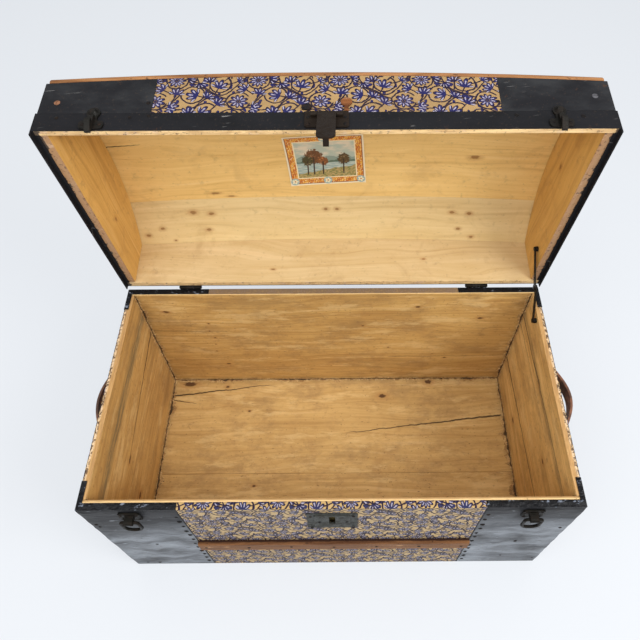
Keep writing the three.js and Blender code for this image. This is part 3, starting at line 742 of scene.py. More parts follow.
class Skin(Graph):
    """The nodes of one material, which end in its shader."""

    def __init__(self, name: str) -> None:
        """Start an empty material with one shader.

        Args:
            name: The finish's name.
        """
        self.material = bpy.data.materials.new(name)
        self.material.use_nodes = True
        super().__init__(self.material.node_tree)
        self.tree.nodes.clear()
        self.shader = self.node("ShaderNodeBsdfPrincipled")
        ending = self.node("ShaderNodeOutputMaterial")
        self.tree.links.new(self.shader.outputs[0], ending.inputs["Surface"])

    def finished(self, colour: Signal, rough: Signal, normal: Signal, gloss: float) -> Material:
        """Feed the shader.

        Args:
            colour: The surface's colour.
            rough: Its roughness.
            normal: Its normal.
            gloss: The strength of its gloss.

        Returns:
            The material.
        """
        for name, value in (("Base Color", colour), ("Roughness", rough), ("Normal", normal)):
            self.feed(self.shader.inputs[name], value)
        self.shader.inputs["Specular IOR Level"].default_value = gloss
        return self.material


class Lay(Enum):
    """How a board lies, which gives its grain and the corners that gather dirt."""

    FLOOR = "floor"
    WALL = "wall"
    END = "end"
    LID_DOME = "lid dome"
    LID_WALL = "lid wall"
    LID_END = "lid end"


@dataclass(frozen=True)
class Tone:
    """The two tones of a board and how strongly its figure shows."""

    pale: Colour
    deep: Colour
    figure: float = 1.0


@dataclass(frozen=True)
class RimTones:
    """The tones of the worn edges on which the lid and the body meet."""

    end_pale: Colour = (0.5, 0.29, 0.11)
    end_deep: Colour = (0.27, 0.135, 0.045)
    end_split: Colour = (0.72, 0.53, 0.33)
    end_gap: Colour = (0.05, 0.033, 0.026)
    wall_pale: Colour = (0.76, 0.53, 0.25)
    wall_deep: Colour = (0.54, 0.31, 0.11)
    wall_inner: Colour = (0.3, 0.165, 0.06)
    lid_end_pale: Colour = (0.38, 0.22, 0.11)
    lid_pale: Colour = (0.82, 0.58, 0.28)
    lid_deep: Colour = (0.36, 0.18, 0.07)
    lid_rubbed: Colour = (0.62, 0.44, 0.3)
    lid_spots: Colour = (0.07, 0.035, 0.02)
    lid_torn: Colour = (0.035, 0.026, 0.022)


@dataclass(frozen=True)
class BoardWood:
    """Old bare softwood of one board, with its own knots and cracks."""

    node: str
    lay: Lay
    seed: float
    tone: Tone
    knots: Rows = ()
    cracks: Rows = ()
    ghost: tuple[float, float, float] | None = None
    knot: Colour = (0.075, 0.028, 0.01)
    lid_knot: Colour = (0.2, 0.085, 0.02)
    halo: Colour = (0.36, 0.15, 0.04)
    stain: Colour = (0.3, 0.15, 0.05)
    smudge: Colour = (0.2, 0.115, 0.05)
    dirt: Colour = (0.045, 0.026, 0.011)
    crack: Colour = (0.03, 0.016, 0.008)
    splinter: Colour = (0.8, 0.6, 0.34)
    greyed: Colour = (0.27, 0.16, 0.065)
    rubbed: Colour = (0.8, 0.58, 0.27)
    grit: Colour = (0.16, 0.07, 0.025)
    ghost_mark: Colour = (0.15, 0.12, 0.065)
    rims: RimTones = RimTones()

    def is_lid(self) -> bool:
        """Whether the board moves with the lid."""
        return self.lay in (Lay.LID_DOME, Lay.LID_WALL, Lay.LID_END)

    def grain(self, graph: Graph, place: Signal) -> Signals:
        """Turn a place into distances along, across and through the board.

        Args:
            graph: The material's graph.
            place: The place in millimetres.

        Returns:
            Along, across and through.
        """
        x, y, z = graph.parts(place)
        if self.lay is Lay.FLOOR:
            return x, y, z
        if self.lay in (Lay.WALL, Lay.LID_WALL):
            return x, z, y
        if self.lay in (Lay.END, Lay.LID_END):
            return y, z, x
        arc = graph.calc("ARCTAN2", y, z - DOME.centre_height) * DOME.radius
        return x, arc, z

    def marks(self, graph: Graph, along: Signal, across: Signal) -> list[tuple[Signal, Signal, float]]:
        """Place the board's knots: each one's core, halo and radius."""
        made = []
        for middle, side, radius, stretch in self.knots:
            core, halo = Knot().put(graph, along, across, middle, side, radius, stretch)
            made.append((core, halo, radius))
        return made

    def rim(self, graph: Graph, place: Signal, colour: Signal, fibre: Signal) -> Signal:
        """Wear the edge that the lid and the body meet on.

        Args:
            graph: The material's graph.
            place: The place in millimetres.
            colour: The board's colour.
            fibre: The board's fibre.

        Returns:
            The colour with its rim.
        """
        if self.lay is Lay.FLOOR:
            return colour
        tones = self.rims
        x, y, z = graph.parts(place)
        spots = graph.noise(place, 0.16, 4, 0.75)
        lumps = graph.noise(place, 0.05, 3, 0.6) - 0.5
        if self.lay is Lay.END:
            outer = (x.size() + lumps * 4).step(399.5, 402.5)
            worn = graph.mix(fibre.step(0.3, 0.7) * 0.6, tones.end_pale, tones.end_deep)
            edge = graph.mix(spots.step(0.46, 0.56), tones.end_split, tones.end_gap)
            return graph.mix(z.step(365.9, 366.3), colour, graph.mix(outer * 0.85, worn, edge))
        if self.lay is Lay.WALL:
            worn = graph.coats(
                graph.mix(fibre.step(0.3, 0.7) * 0.5, tones.wall_pale, tones.wall_deep),
                (spots.step(0.62, 0.7) * 0.8, self.dirt),
                ((y - BOX.inner_front + lumps * 2).size().step(3.4, 2.2) * 0.8, tones.wall_inner),
            )
            return graph.mix(z.step(365.9, 366.3), colour, worn)
        is_end = self.lay is Lay.LID_END
        torn = (x.size() + lumps * 26 + (spots - 0.5) * 9).step(400.0, 401.5)
        pale = tones.lid_end_pale if is_end else tones.lid_pale
        worn = graph.coats(
            graph.mix(fibre.step(0.3, 0.7) * 0.6, pale, tones.lid_deep),
            (lumps.step(0.08, 0.16) * 0.5, tones.lid_rubbed),
            (spots.step(0.56, 0.64) * 0.75, tones.lid_spots),
            (torn * 0.92, tones.lid_torn),
        )
        return graph.mix(z.step(371.4, 370.6) if is_end else z.step(369.5, 369.1), colour, worn)

    def weathered(self, graph: Graph, place: Signal, along: Signal, across: Signal, colour: Signal) -> Signal:
        """Grey, rub and speck the bare boards of the body.

        Args:
            graph: The material's graph.
            place: The place in millimetres.
            along: The distance along the board.
            across: The distance across the board.
            colour: The board's colour.

        Returns:
            The weathered colour.
        """
        grey = graph.clouds(along / 110, across / 60, self.seed * 2 + 8, detail=8, rough=0.78)
        rubbed = graph.clouds(along / 130, across / 34, self.seed * 3 + 1, detail=6, rough=0.75)
        grit = graph.noise(place, 0.24, 2, 0.5)
        return graph.coats(
            colour,
            (grey.step(0.45, 0.66) * 0.5, self.greyed),
            (rubbed.step(0.52, 0.66) * 0.45, self.rubbed),
            (grit.step(0.7, 0.76) * 0.6, self.grit),
        )

    def cracked(
        self, graph: Graph, along: Signal, across: Signal, colour: Signal
    ) -> tuple[Signal, Signal | None]:
        """Draw the board's cracks.

        Args:
            graph: The material's graph.
            along: The distance along the board.
            across: The distance across the board.
            colour: The board's colour.

        Returns:
            The colour with its cracks, and the cracks' mask where there are any.
        """
        groove = None
        for begin, finish, start, end, width in self.cracks:
            (gap,) = Crack().put(graph, along, across, begin, finish, start, end, width)
            colour = graph.mix(gap * 0.9, colour, self.crack)
            groove = gap if groove is None else groove.most(gap)
        return colour, groove

    def ghosted(self, graph: Graph, along: Signal, across: Signal, colour: Signal) -> Signal:
        """Draw the mark that a fitting left across the board.

        Args:
            graph: The material's graph.
            along: The distance along the board.
            across: The distance across the board.
            colour: The board's colour.

        Returns:
            The colour with its mark.
        """
        low, high, share = self.ghost
        middle, half = (low + high) / 2, (high - low) / 2
        broken = graph.clouds(along / 60, across / 6, 2.0, detail=4, rough=0.7)
        band = (across - middle).size().step(half, half * 0.3)
        return graph.mix(band * broken.step(0.3, 0.62) * share, colour, self.ghost_mark)

    def make(self) -> Material:
        """Build the board's material.

        Returns:
            The material.
        """
        lid = self.is_lid()
        graph = Skin(f"{'pale' if lid else 'old'} pine {self.node}")
        place = graph.place(lid)
        along, across, deep = self.grain(graph, place)
        knots = self.marks(graph, along, across)
        bent = across
        for _, halo, radius in knots:
            bent = bent + halo * (radius * 0.9)
        lines, fibre, streaks, broad, specks = WoodFigure().put(graph, along, bent, deep, self.seed)
        strong = self.tone.figure
        figure = streaks.step(0.3, 0.7) * 0.42 + broad.step(0.3, 0.7) * 0.33 + lines * (0.15 * strong)
        figure = figure + (fibre - 0.5) * (0.8 * strong)
        stain = graph.noise(place, 0.016, 5, 0.68, 0.6)
        smudge = graph.noise(place, 0.055, 6, 0.75)
        colour = graph.coats(
            graph.mix(figure, self.tone.pale, self.tone.deep),
            (streaks.step(0.55, 0.75) * 0.3 * strong, self.stain),
            (streaks.step(0.42, 0.28) * 0.28 * strong, self.splinter),
            (specks * (0.2 if lid else 0.55), self.knot),
            (stain.step(0.5, 0.72) * 0.34 * strong, self.stain),
            (smudge.step(0.56, 0.7) * 0.4 * strong, self.smudge),
        )
        if not lid:
            colour = self.weathered(graph, place, along, across, colour)
        for core, halo, _ in knots:
            colour = graph.mix(halo * 0.42, colour, self.halo)
            colour = graph.mix(core * (0.72 if lid else 0.9), colour, self.lid_knot if lid else self.knot)
        colour, groove = self.cracked(graph, along, across, colour)
        if self.ghost:
            colour = self.ghosted(graph, along, across, colour)
        ends = 0.0 if self.lay in (Lay.END, Lay.LID_END) else 1.0
        sides = 0.0 if lid or self.lay is Lay.WALL else 1.0
        bottom = 0.0 if lid or self.lay is Lay.FLOOR else 1.0
        shade, dark, splinter = JointShadeAndGrime().put(graph, place, ends, sides, bottom, 3.5 if lid else 6.5)
        # The soft shade by the walls is painted shade, laid in the dirt colour; the dark gaps and splinters are
        # the joints' own.
        colour = graph.coats(
            colour,
            (shade * (0.25 if lid else 0.5), self.dirt),
            (dark * (0.5 if lid else 0.92), self.dirt),
            (splinter * (0.3 if lid else 0.8), self.splinter),
        )
        colour = self.rim(graph, place, colour, fibre)
        height = lines * 0.2 + fibre * 0.55 + streaks * 0.35 - dark * 1.5 + splinter
        if groove is not None:
            height = height - groove * 2.5
        rough = (fibre * 0.16 + broad * 0.2 + 0.42).least(0.85)
        normal = graph.bump(height, 0.3, 0.6)
        return graph.finished(colour, rough, normal, 0.3)


class Wrap(Enum):
    """Which part of the trunk a printed sheet covers, which gives the print's run."""

    FRONT = "front"
    BACK = "back"
    END = "end"
    LID = "lid"


@dataclass(frozen=True)
class PrintedTin:
    """Cream sheet metal printed with a blue scrolling vine, rubbed and a little dirty."""

    name: str
    wrap: Wrap
    shift: float
    wear: float
    ground: Colour = (0.37, 0.235, 0.1)
    ground_dirty: Colour = (0.25, 0.155, 0.07)
    ground_fold: Colour = (0.45, 0.3, 0.125)
    ground_glare: Colour = (0.45, 0.33, 0.175)
    ink: Colour = (0.016, 0.016, 0.08)
    ink_fold: Colour = (0.022, 0.025, 0.075)
    ink_glare: Colour = (0.06, 0.055, 0.075)
    line: Colour = (0.016, 0.01, 0.024)
    streak: Colour = (0.4, 0.36, 0.42)
    pitted: Colour = (0.2, 0.13, 0.07)
    bare: Colour = (0.5, 0.45, 0.38)
    rust: Colour = (0.16, 0.07, 0.03)
    back_rubbed: Colour = (0.21, 0.14, 0.08)
    lid_foot: float = 361.0
    lid_crown: float = 317.0
    lid_back_foot: float = 990.0

    def run(self, graph: Graph, place: Signal) -> tuple[Signal, Signal]:
        """Where on the flat sheet a place lies.

        Args:
            graph: The material's graph.
            place: The place in millimetres.

        Returns:
            The distances along and up the sheet.
        """
        x, y, z = graph.parts(place)
        if self.wrap is Wrap.FRONT:
            return x + self.shift, z + y + BOX.half_depth
        if self.wrap is Wrap.BACK:
            return x + self.shift, z - y + BOX.half_depth
        if self.wrap is Wrap.END:
            return y + self.shift, z
        front, back = ((y * side).step(215.0, 215.4) for side in (-1.0, 1.0))
        arc = graph.calc("ARCTAN2", y, z - DOME.centre_height) * (DOME.radius + 8) + self.lid_crown
        run = front * (z - self.lid_foot) + back * (z * -1.0 + self.lid_back_foot)
        return x + self.shift, run + (front + back).inverse() * arc

    def make(self) -> Material:
        """Build the sheet's material.

        Returns:
            The material.
        """
        lid = self.wrap is Wrap.LID
        graph = Skin(self.name)
        place = graph.place(lid)
        z = graph.parts(place)[2]
        u, v = self.run(graph, place)
        ink, line, pale = VinePrint().put(graph, u, v)
        scratch, smear, dents, pits = Scuffs().put(graph, place, self.shift / 10)
        ground = graph.mix(smear.step(0.35, 0.75) * 0.6, self.ground, self.ground_dirty)
        inked = self.ink
        if not lid:
            # The body's vertical faces take a paler, greyer ground and ink than the fold on top: painted glare
            # of the floor.
            face = z.step(367.6, 364.0)
            folded = graph.mix(smear.step(0.4, 0.75) * 0.5, self.ground_fold, self.ground_dirty)
            ground = graph.mix(face, folded, graph.mix(0.8, ground, self.ground_glare))
            inked = graph.mix(face, self.ink_fold, self.ink_glare)
        kept = (smear.step(0.5, 0.85) * self.wear + pits.step(0.62, 0.72) * 0.2).inverse()
        colour = graph.coats(
            ground,
            (pits.step(0.55, 0.7) * 0.25, self.pitted),
            (ink * kept, inked),
            (line * kept, self.line),
            (pale * 0.8, self.streak),
            (scratch * 0.5, self.bare),
            (graph.noise(place, 0.06, 5, 0.7).step(0.66, 0.74) * 0.5, self.rust),
        )
        if self.wrap is Wrap.BACK:
            rubbed = graph.noise(place, 0.03, 5, 0.7) + (z - 330) / 90
            colour = graph.mix(rubbed.step(0.55, 0.8) * 0.9, colour, self.back_rubbed)
        rough = (smear * 0.2 + pits * 0.1 + 0.42).least(0.8)
        normal = graph.bump(dents + pits * 0.05 + ink * 0.02, 1.6, 0.5)
        return graph.finished(colour, rough, normal, 0.12)


@dataclass(frozen=True)
class BlackSheet:
    """Sheet iron in old black paint, dented and scuffed; on the body its sheen, highlights and shade are
    painted into the colour.
    """

    name: str
    lid: bool
    seed: float
    rough: float
    depth: float
    gloss: float
    # Colour mixed over the paint: dust on the lid's sheets, painted sheen with some dust on the body's.
    dust: Colour
    paint: Colour = (0.011, 0.011, 0.013)
    pitted: Colour = (0.07, 0.048, 0.034)
    bare: Colour = (0.26, 0.25, 0.24)
    rust: Colour = (0.1, 0.045, 0.02)
    glint: Colour = (0.36, 0.39, 0.43)
    dent_shade: Colour = (0.012, 0.012, 0.014)
    fold_shade_and_seam: Colour = (0.006, 0.006, 0.007)
    shine: Colour = (0.3, 0.34, 0.42)
    fold: float = 367.0

    def folded(self, graph: Graph, place: Signal, colour: Signal) -> Signals:
        """Draw the dents' painted shade and highlights, the dark seams, and the painted shade under and on the
        lumpy fold over the rim of a sheet on the body, with its painted highlights.

        Args:
            graph: The material's graph.
            place: The place in millimetres.
            colour: The sheet's colour.

        Returns:
            The colour, the fold's mask and its lumps.
        """
        x, y, z = graph.parts(place)
        run = (x + y) / 22
        # Dark dents with a glint beside each: painted dent shade and painted highlight.
        dent_shade_mask = graph.clouds(run, z / 8, self.seed + 9, detail=2).step(0.66, 0.73)
        glint = graph.clouds(run, z / 8 + 0.5, self.seed + 9, detail=2).step(0.67, 0.75)
        under_fold_shade = (z - self.fold + 9).size().step(9.0, 3.0) * graph.noise(place, 0.05, 3, 0.6).step(0.3, 0.5)
        top = z.step(self.fold - 1.2, self.fold - 0.2)
        seam = x.size().step(249.6, 248.2).most(y.size().step(170.4, 169.2) * x.size().step(400, 402))
        lumpy = graph.clouds(x / 16, y / 10, self.seed, detail=3, rough=0.6)
        # The line under the fold and the fold's top are darkened as painted shade, the seams as dark joints;
        # the fold's lumps take a painted highlight.
        colour = graph.coats(
            colour,
            (glint * 0.7, self.glint),
            (dent_shade_mask * 0.75, self.dent_shade),
            (under_fold_shade.most(top).most(seam) * 0.95, self.fold_shade_and_seam),
            (lumpy.step(0.6, 0.68) * top * 0.55, self.shine),
        )
        return colour, top, lumpy

    def make(self) -> Material:
        """Build the sheet's material.

        Returns:
            The material.
        """
        graph = Skin(self.name)
        place = graph.place(self.lid)
        scratch, smear, dents, pits = Scuffs().put(graph, place, self.seed)
        dust_sheen_share = smear.step(0.35, 0.75)
        height = dents + smear * 0.25 + pits * 0.03
        rough = smear * 0.26 + pits * 0.12 + self.rough
        if not self.lid:
            x, y, z = graph.parts(place)
            run = x + y
            sway = graph.clouds(run / 60, z / 60, self.seed + 2, detail=2) - 0.5
            creased = graph.vector(run / 105, z / 40 + sway * 2.6, self.seed + 5)
            crumple = graph.noise(creased, detail=4, rough=0.5)
            # Painted floor reflection on the body's sheets: a blue grey sheen laid in as colour with some dust,
            # fading out towards the top and broken by the crumples.
            low = (z + sway * 70 - x * 0.06).step(335, 200)
            dust_sheen_share = (crumple.step(0.24, 0.76) * 0.66 + smear.step(0.3, 0.7) * 0.34) * (low * 0.94 + 0.06)
            height = height + crumple * 1.6
        colour = graph.coats(
            graph.mix(dust_sheen_share, self.paint, self.dust),
            (pits.step(0.6, 0.75) * 0.5, self.pitted),
            (scratch * 0.75, self.bare),
            (graph.noise(place, 0.045, 5, 0.72).step(0.65, 0.73) * 0.6, self.rust),
        )
        if not self.lid:
            colour, top, lumpy = self.folded(graph, place, colour)
            rough = rough * (top * 0.4).inverse()
            height = height + lumpy * top * 2.5
        normal = graph.bump(height, self.depth, 0.75)
        return graph.finished(colour, rough, normal, self.gloss)


@dataclass(frozen=True)
class SlatWood:
    """Varnished hardwood slat, scraped and darkened."""

    name: str
    lid: bool
    seed: float
    pale: Colour
    deep: Colour
    pore: Colour = (0.05, 0.02, 0.01)
    scraped: Colour = (0.52, 0.38, 0.25)
    faded: Colour = (0.3, 0.16, 0.075)
    speck: Colour = (0.03, 0.014, 0.01)
    dirt: Colour = (0.03, 0.013, 0.008)
    bare: Colour = (0.62, 0.36, 0.16)
    bare_height: float = 171.0
    bare_spots: Rows = ((-228.0, 12.0), (-196.0, 9.0), (120.0, 10.0))

    def make(self) -> Material:
        """Build the slat's material.

        Returns:
            The material.
        """
        graph = Skin(self.name)
        place = graph.place(self.lid)
        x, y, z = graph.parts(place)
        lines, fibre, streaks, broad, specks = WoodFigure().put(graph, x, z + y * 0.8, y, self.seed)
        scratch, smear = Scuffs().put(graph, place, self.seed)[:2]
        figure = streaks.step(0.35, 0.65) * 0.5 + broad.step(0.3, 0.7) * 0.3 + lines * 0.25
        colour = graph.coats(
            graph.mix(figure, self.pale, self.deep),
            (fibre.step(0.58, 0.72) * 0.35, self.pore),
            (scratch * 0.85, self.scraped),
            (smear.step(0.55, 0.75) * 0.4, self.faded),
            (specks * 0.6, self.speck),
        )
        if not self.lid:
            wave = graph.noise(place, 0.05, 3, 0.6) - 0.5
            # Dark line at the back of the slat's top, against the print: painted shade with some dirt.
            top_edge_shade_and_dirt = z.step(183.5, 184.5) * (y.size() + wave * 3).step(221.5, 219.5)
            colour = graph.mix(top_edge_shade_and_dirt, colour, self.dirt)
            for middle, reach in self.bare_spots:
                off = (x - middle).size() / reach + (z - self.bare_height).size() / 2.2
                colour = graph.mix((off + wave * 1.4).step(1.0, 0.7) * 0.85, colour, self.bare)
        rough = fibre * 0.15 + smear * 0.2 + 0.36
        normal = graph.bump(lines * 0.4 + fibre * 0.6, 0.3, 0.7)
        return graph.finished(colour, rough, normal, 0.08)


@dataclass(frozen=True)
class OldMetal:
    """Cast or stamped metal with a dull skin and rust in patches."""

    name: str
    lid: bool
    seed: float
    base: Colour
    rust: Colour
    metallic: float
    rough: float
    rusty: float
    gloss: float = 0.15

    def make(self) -> Material:
        """Build the metal's material.

        Returns:
            The material.
        """
        graph = Skin(self.name)
        place = graph.place(self.lid)
        fine = graph.noise(place, 0.5, 4, 0.65)
        moved = graph.vector(*[part + self.seed * 40 for part in graph.parts(place)])
        coarse = graph.noise(moved, 0.09, 5, 0.65)
        patch = coarse.step(0.42, 0.66)
        colour = graph.mix(patch * self.rusty, self.base, self.rust)
        colour = graph.mix(fine.step(0.58, 0.72) * 0.5, colour, tuple(part * 0.35 for part in self.base))
        rough = patch * 0.25 + fine * 0.2 + (self.rough - 0.1)
        graph.feed(graph.shader.inputs["Metallic"], (patch * self.rusty).inverse() * self.metallic)
        return graph.finished(colour, rough, graph.bump(fine * 0.8 + coarse * 0.6, 0.7, 0.8), self.gloss)


@dataclass(frozen=True)
class OldLeather:
    """Dark brown handle leather, cracked and rubbed red along its bends."""

    name: str
    base: Colour = (0.075, 0.032, 0.017)
    worn: Colour = (0.24, 0.095, 0.045)
    crack: Colour = (0.03, 0.014, 0.008)

    def make(self) -> Material:
        """Build the leather's material.

        Returns:
            The material.
        """
        graph = Skin(self.name)
        place = graph.place(False)
        x, y, z = graph.parts(place)
        cracks = graph.clouds(x / 3, y / 1.6, z / 7, detail=4, rough=0.7)
        broad = graph.noise(place, 0.03, 4, 0.6)
        colour = graph.mix(broad.step(0.42, 0.65), self.base, self.worn)
        colour = graph.mix(cracks.step(0.6, 0.72) * 0.7, colour, self.crack)
        rough = cracks * 0.2 + broad * 0.15 + 0.4
        normal = graph.bump(cracks.inverse(), 0.5, 0.6)
        return graph.finished(colour, rough, normal, 0.5)


def deselect() -> None:
    """Leave nothing selected, so that an operator acts on what is meant."""
    if bpy.context.mode != "OBJECT":
        bpy.ops.object.mode_set(mode="OBJECT")
    bpy.ops.object.select_all(action="DESELECT")


def take(piece: Piece) -> None:
    """Make one object the only selected and active one."""
    deselect()
    piece.select_set(True)
    bpy.context.view_layer.objects.active = piece


def apply_modifier(piece: Piece, kind: str, **settings: object) -> None:
    """Add a modifier to a piece and apply it at once.

    Args:
        piece: The object.
        kind: The modifier's type.
        settings: The modifier's settings by name.
    """
    take(piece)
    modifier = piece.modifiers.new(kind.lower(), kind)
    for name, value in settings.items():
        setattr(modifier, name, value)
    bpy.ops.object.modifier_apply(modifier=modifier.name)


def smooth(piece: Piece, angle: float = SHARP) -> None:
    """Shade a piece smooth but for edges sharper than an angle."""
    take(piece)
    bpy.ops.object.shade_smooth_by_angle(angle=angle)


def soften(piece: Piece, width: float, even: bool = True) -> None:
    """Round a piece's sharp edges and shade it smooth.

    Args:
        piece: The object.
        width: How wide the rounding is, in millimetres.
        even: Whether big faces keep an even tone up to their rounded edges.
    """
    limit = {"limit_method": "ANGLE", "angle_limit": SHARP}
    apply_modifier(piece, "BEVEL", width=width * MM, segments=2, harden_normals=False, **limit)
    smooth(piece)
    if even:
        apply_modifier(piece, "WEIGHTED_NORMAL", mode="FACE_AREA", weight=50, keep_sharp=True)


def whole_mesh_selected(piece: Piece) -> None:
    """Open a piece for editing with all of its mesh selected."""
    take(piece)
    bpy.ops.object.mode_set(mode="EDIT")
    bpy.ops.mesh.select_all(action="SELECT")


def hand_over(piece: Piece, material: Material, body: str) -> None:
    """Give a finished piece its material and its body, and report it.

    Args:
        piece: The piece.
        material: Its finish.
        body: The body that it rides on.
    """
    piece.data.materials.clear()
    piece.data.materials.append(material)
    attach(piece, body)
    LOG.info("%s: %d faces", piece.name, len(piece.data.polygons))


def flat_sheet(name: str, flat_map: str, across: int, down: int) -> Piece:
    """Make a flat sheet, one metre square, with a flat map of its own.

    Args:
        name: The piece's name.
        flat_map: The map's name.
        across: Its faces along x.
        down: Its faces along y.

    Returns:
        The sheet.
    """
    deselect()
    bpy.ops.mesh.primitive_grid_add(x_subdivisions=across, y_subdivisions=down, size=1, calc_uvs=True)
    piece = bpy.context.object
    piece.name = name
    piece.data.uv_layers[0].name = flat_map
    return piece


@dataclass(frozen=True)
class Dents:
    """Soft dents in the outer faces of a sheet on the body, in millimetres."""

    depth: float = 2.4
    grain: float = 34.0
    spacing: float = 8.0
    outside: float = 0.25
    rest: float = 0.4
    lapped: float = 10.0
    lapped_share: float = 0.1

    def outer(self, point: Vector) -> bool:
        """Whether a place, in metres, is on the sheet's outer skin."""
        x, y, z = (abs(part) / MM for part in point)
        skin = (BOX.half_length - x, BOX.half_depth - y, BOX.top - z)
        return min(skin) < self.outside and z > self.spacing

    def press(self, piece: Piece) -> None:
        """Cut the sheet into a fine grid and displace its outer skin.

        Args:
            piece: The sheet.
        """
        corners = [Vector(corner) for corner in piece.bound_box]
        take(piece)
        bpy.ops.object.mode_set(mode="EDIT")
        for axis in range(3):
            low, high = (end(corner[axis] for corner in corners) for end in (min, max))
            count = round((high - low) / (self.spacing * MM))
            normal = [float(axis == index) for index in range(3)]
            for step in range(1, count):
                bpy.ops.mesh.select_all(action="SELECT")
                at = low + (high - low) * step / count
                bpy.ops.mesh.bisect(plane_co=[part * at for part in normal], plane_no=normal)
        bpy.ops.object.mode_set(mode="OBJECT")
        group = piece.vertex_groups.new(name="outer")
        skin = [vertex for vertex in piece.data.vertices if self.outer(vertex.co)]
        lap = (BOX.top - self.lapped) * MM
        for share, high in ((1.0, False), (self.lapped_share, True)):
            group.add([vertex.index for vertex in skin if (vertex.co.z > lap) is high], share, "REPLACE")
        clouds = bpy.data.textures.new(f"dents {piece.name}", "CLOUDS")
        clouds.noise_scale = self.grain * MM
        clouds.noise_depth = 2
        size = {"strength": self.depth * MM, "mid_level": self.rest}
        apply_modifier(piece, "DISPLACE", texture=clouds, vertex_group=group.name, **size)


@dataclass
class Dresser:
    """Puts finished copies in the place of the plain nodes."""

    widths: dict[str, float]
    arched: tuple[str, ...] = (
        "dome_plank", "lid_print", "lid_cap", "lid_slat", "lid_end", "lid_front", "lid_back",
    )

    def clean_copy(self, node: str) -> Piece:
        """Copy a node as a closed mesh, with whole faces where they are flat.

        Args:
            node: The node's name.

        Returns:
            The copy, at the origin, with its own mesh.
        """
        source = frame["nodes"][node]
        mesh = source.data.copy()
        piece = bpy.data.objects.new(f"{node}_finished", mesh)
        bpy.context.scene.collection.objects.link(piece)
        whole_mesh_selected(piece)
        bpy.ops.mesh.remove_doubles(threshold=0.00001)
        if not node.startswith(self.arched):
            bpy.ops.mesh.dissolve_limited(angle_limit=math.radians(0.05))
        bpy.ops.object.mode_set(mode="OBJECT")
        return piece

    def finish(self, node: str, material: Material, slot: str, dents: Dents | None = None) -> None:
        """Replace a node by a copy with eased edges and its finish.

        Args:
            node: The node's name.
            material: The finish.
            slot: The record's material slot.
            dents: The dents of its outer faces, where it has any.
        """
        piece = self.clean_copy(node)
        soften(piece, self.widths.get(node, self.widths[slot]), even=dents is None)
        if dents:
            dents.press(piece)
        hand_over(piece, material, frame["nodes"][node]["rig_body"])
        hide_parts(node)


DRESSER = Dresser(
    {
        "pine_old": 0.8, "pine_pale": 0.7, "slat_wood": 1.6, "printed_tin": 0.5, "black_iron": 0.6,
        "dark_iron": 0.5, "lock_steel": 0.5, "lock_brass": 0.4, "leather": 1.2,
    }
)


@dataclass
class Chest:
    """The boards of the body."""

    wall: Tone = Tone((0.66, 0.415, 0.14), (0.42, 0.225, 0.062))
    floor: Tone = Tone((0.66, 0.43, 0.165), (0.46, 0.27, 0.085), 0.8)
    left: Tone = Tone((0.62, 0.38, 0.13), (0.4, 0.22, 0.065), 1.1)
    right: Tone = Tone((0.76, 0.5, 0.19), (0.52, 0.31, 0.1), 1.1)

    def build(self) -> None:
        """Finish each board with its own figure, knots and cracks."""
        back_knots = (
            (-345, 307, 3.5, 2.2), (305, 277, 3, 2.4), (171, 320, 3, 2.0), (-250, 90, 3, 1.8),
            (-266, 262, 1.9, 1.5), (-269, 233, 1.6, 1.2), (-262, 205, 2.1, 1.6), (-265, 178, 1.6, 1.1),
            (-268, 148, 1.8, 1.6), (60, 250, 2.0, 1.7), (118, 160, 1.8, 1.6), (250, 112, 2.2, 1.8),
        )
        back_cracks = ((-393, -180, 236, 226, 1.2), (120, 393, 118, 121, 0.9))
        front_knots = ((-120, 240, 5, 1.6), (210, 130, 6, 1.5))
        floor_knots = (
            (-355, 190, 7.5, 2.2), (109, 155, 5.5, 1.8), (222, 192, 6, 1.6), (-263, 182, 3, 1.8),
            (-205, 118, 2.5, 1.5), (-384, 128, 3.2, 1.6),
        )
        floor_cracks = ((-393, -150, 158, 188, 3.2), (386, 20, 104, 62, 3.4), (-393, -330, 148, 138, 2.2))
        near_knots = ((90, -95, 3, 2.4), (-180, -60, 2.5, 1.8), (-386, -118, 4.2, 0.8), (345, -150, 4.0, 1.2))
        left_knots, left_cracks = ((-72, 207, 3, 3.0),), ((206, -90, 238, 208, 3.4),)
        right_knots = ((40, 300, 4, 1.8), (-90, 230, 3.5, 1.8))
        right_cracks = ((202, 10, 290, 294, 3.2), (90, -230, 296, 309, 3.0), (202, -60, 262, 270, 1.6))
        right_ghost, low_crack = (286, 312, 0.55), ((212, -290, 119, 150, 4.4),)
        for board in (
            BoardWood("wall_back", Lay.WALL, 3.1, self.wall, back_knots, back_cracks),
            BoardWood("wall_front", Lay.WALL, 7.7, self.wall, front_knots, ((-393, -250, 150, 156, 1.0),)),
            BoardWood("floor_back", Lay.FLOOR, 1.3, self.floor, floor_knots, floor_cracks),
            BoardWood("floor_front", Lay.FLOOR, 5.9, self.floor, near_knots),
            BoardWood("end_left_upper", Lay.END, 2.2, self.left, left_knots, left_cracks, (282, 326, 0.85)),
            BoardWood("end_left_lower", Lay.END, 8.4, self.left, ((-110, 110, 6, 1.5),)),
            BoardWood("end_right_upper", Lay.END, 4.6, self.right, right_knots, right_cracks, right_ghost),
            BoardWood("end_right_lower", Lay.END, 6.5, self.right, ((60, 80, 5, 1.6),), low_crack),
        ):
            DRESSER.finish(board.node, board.make(), "pine_old")


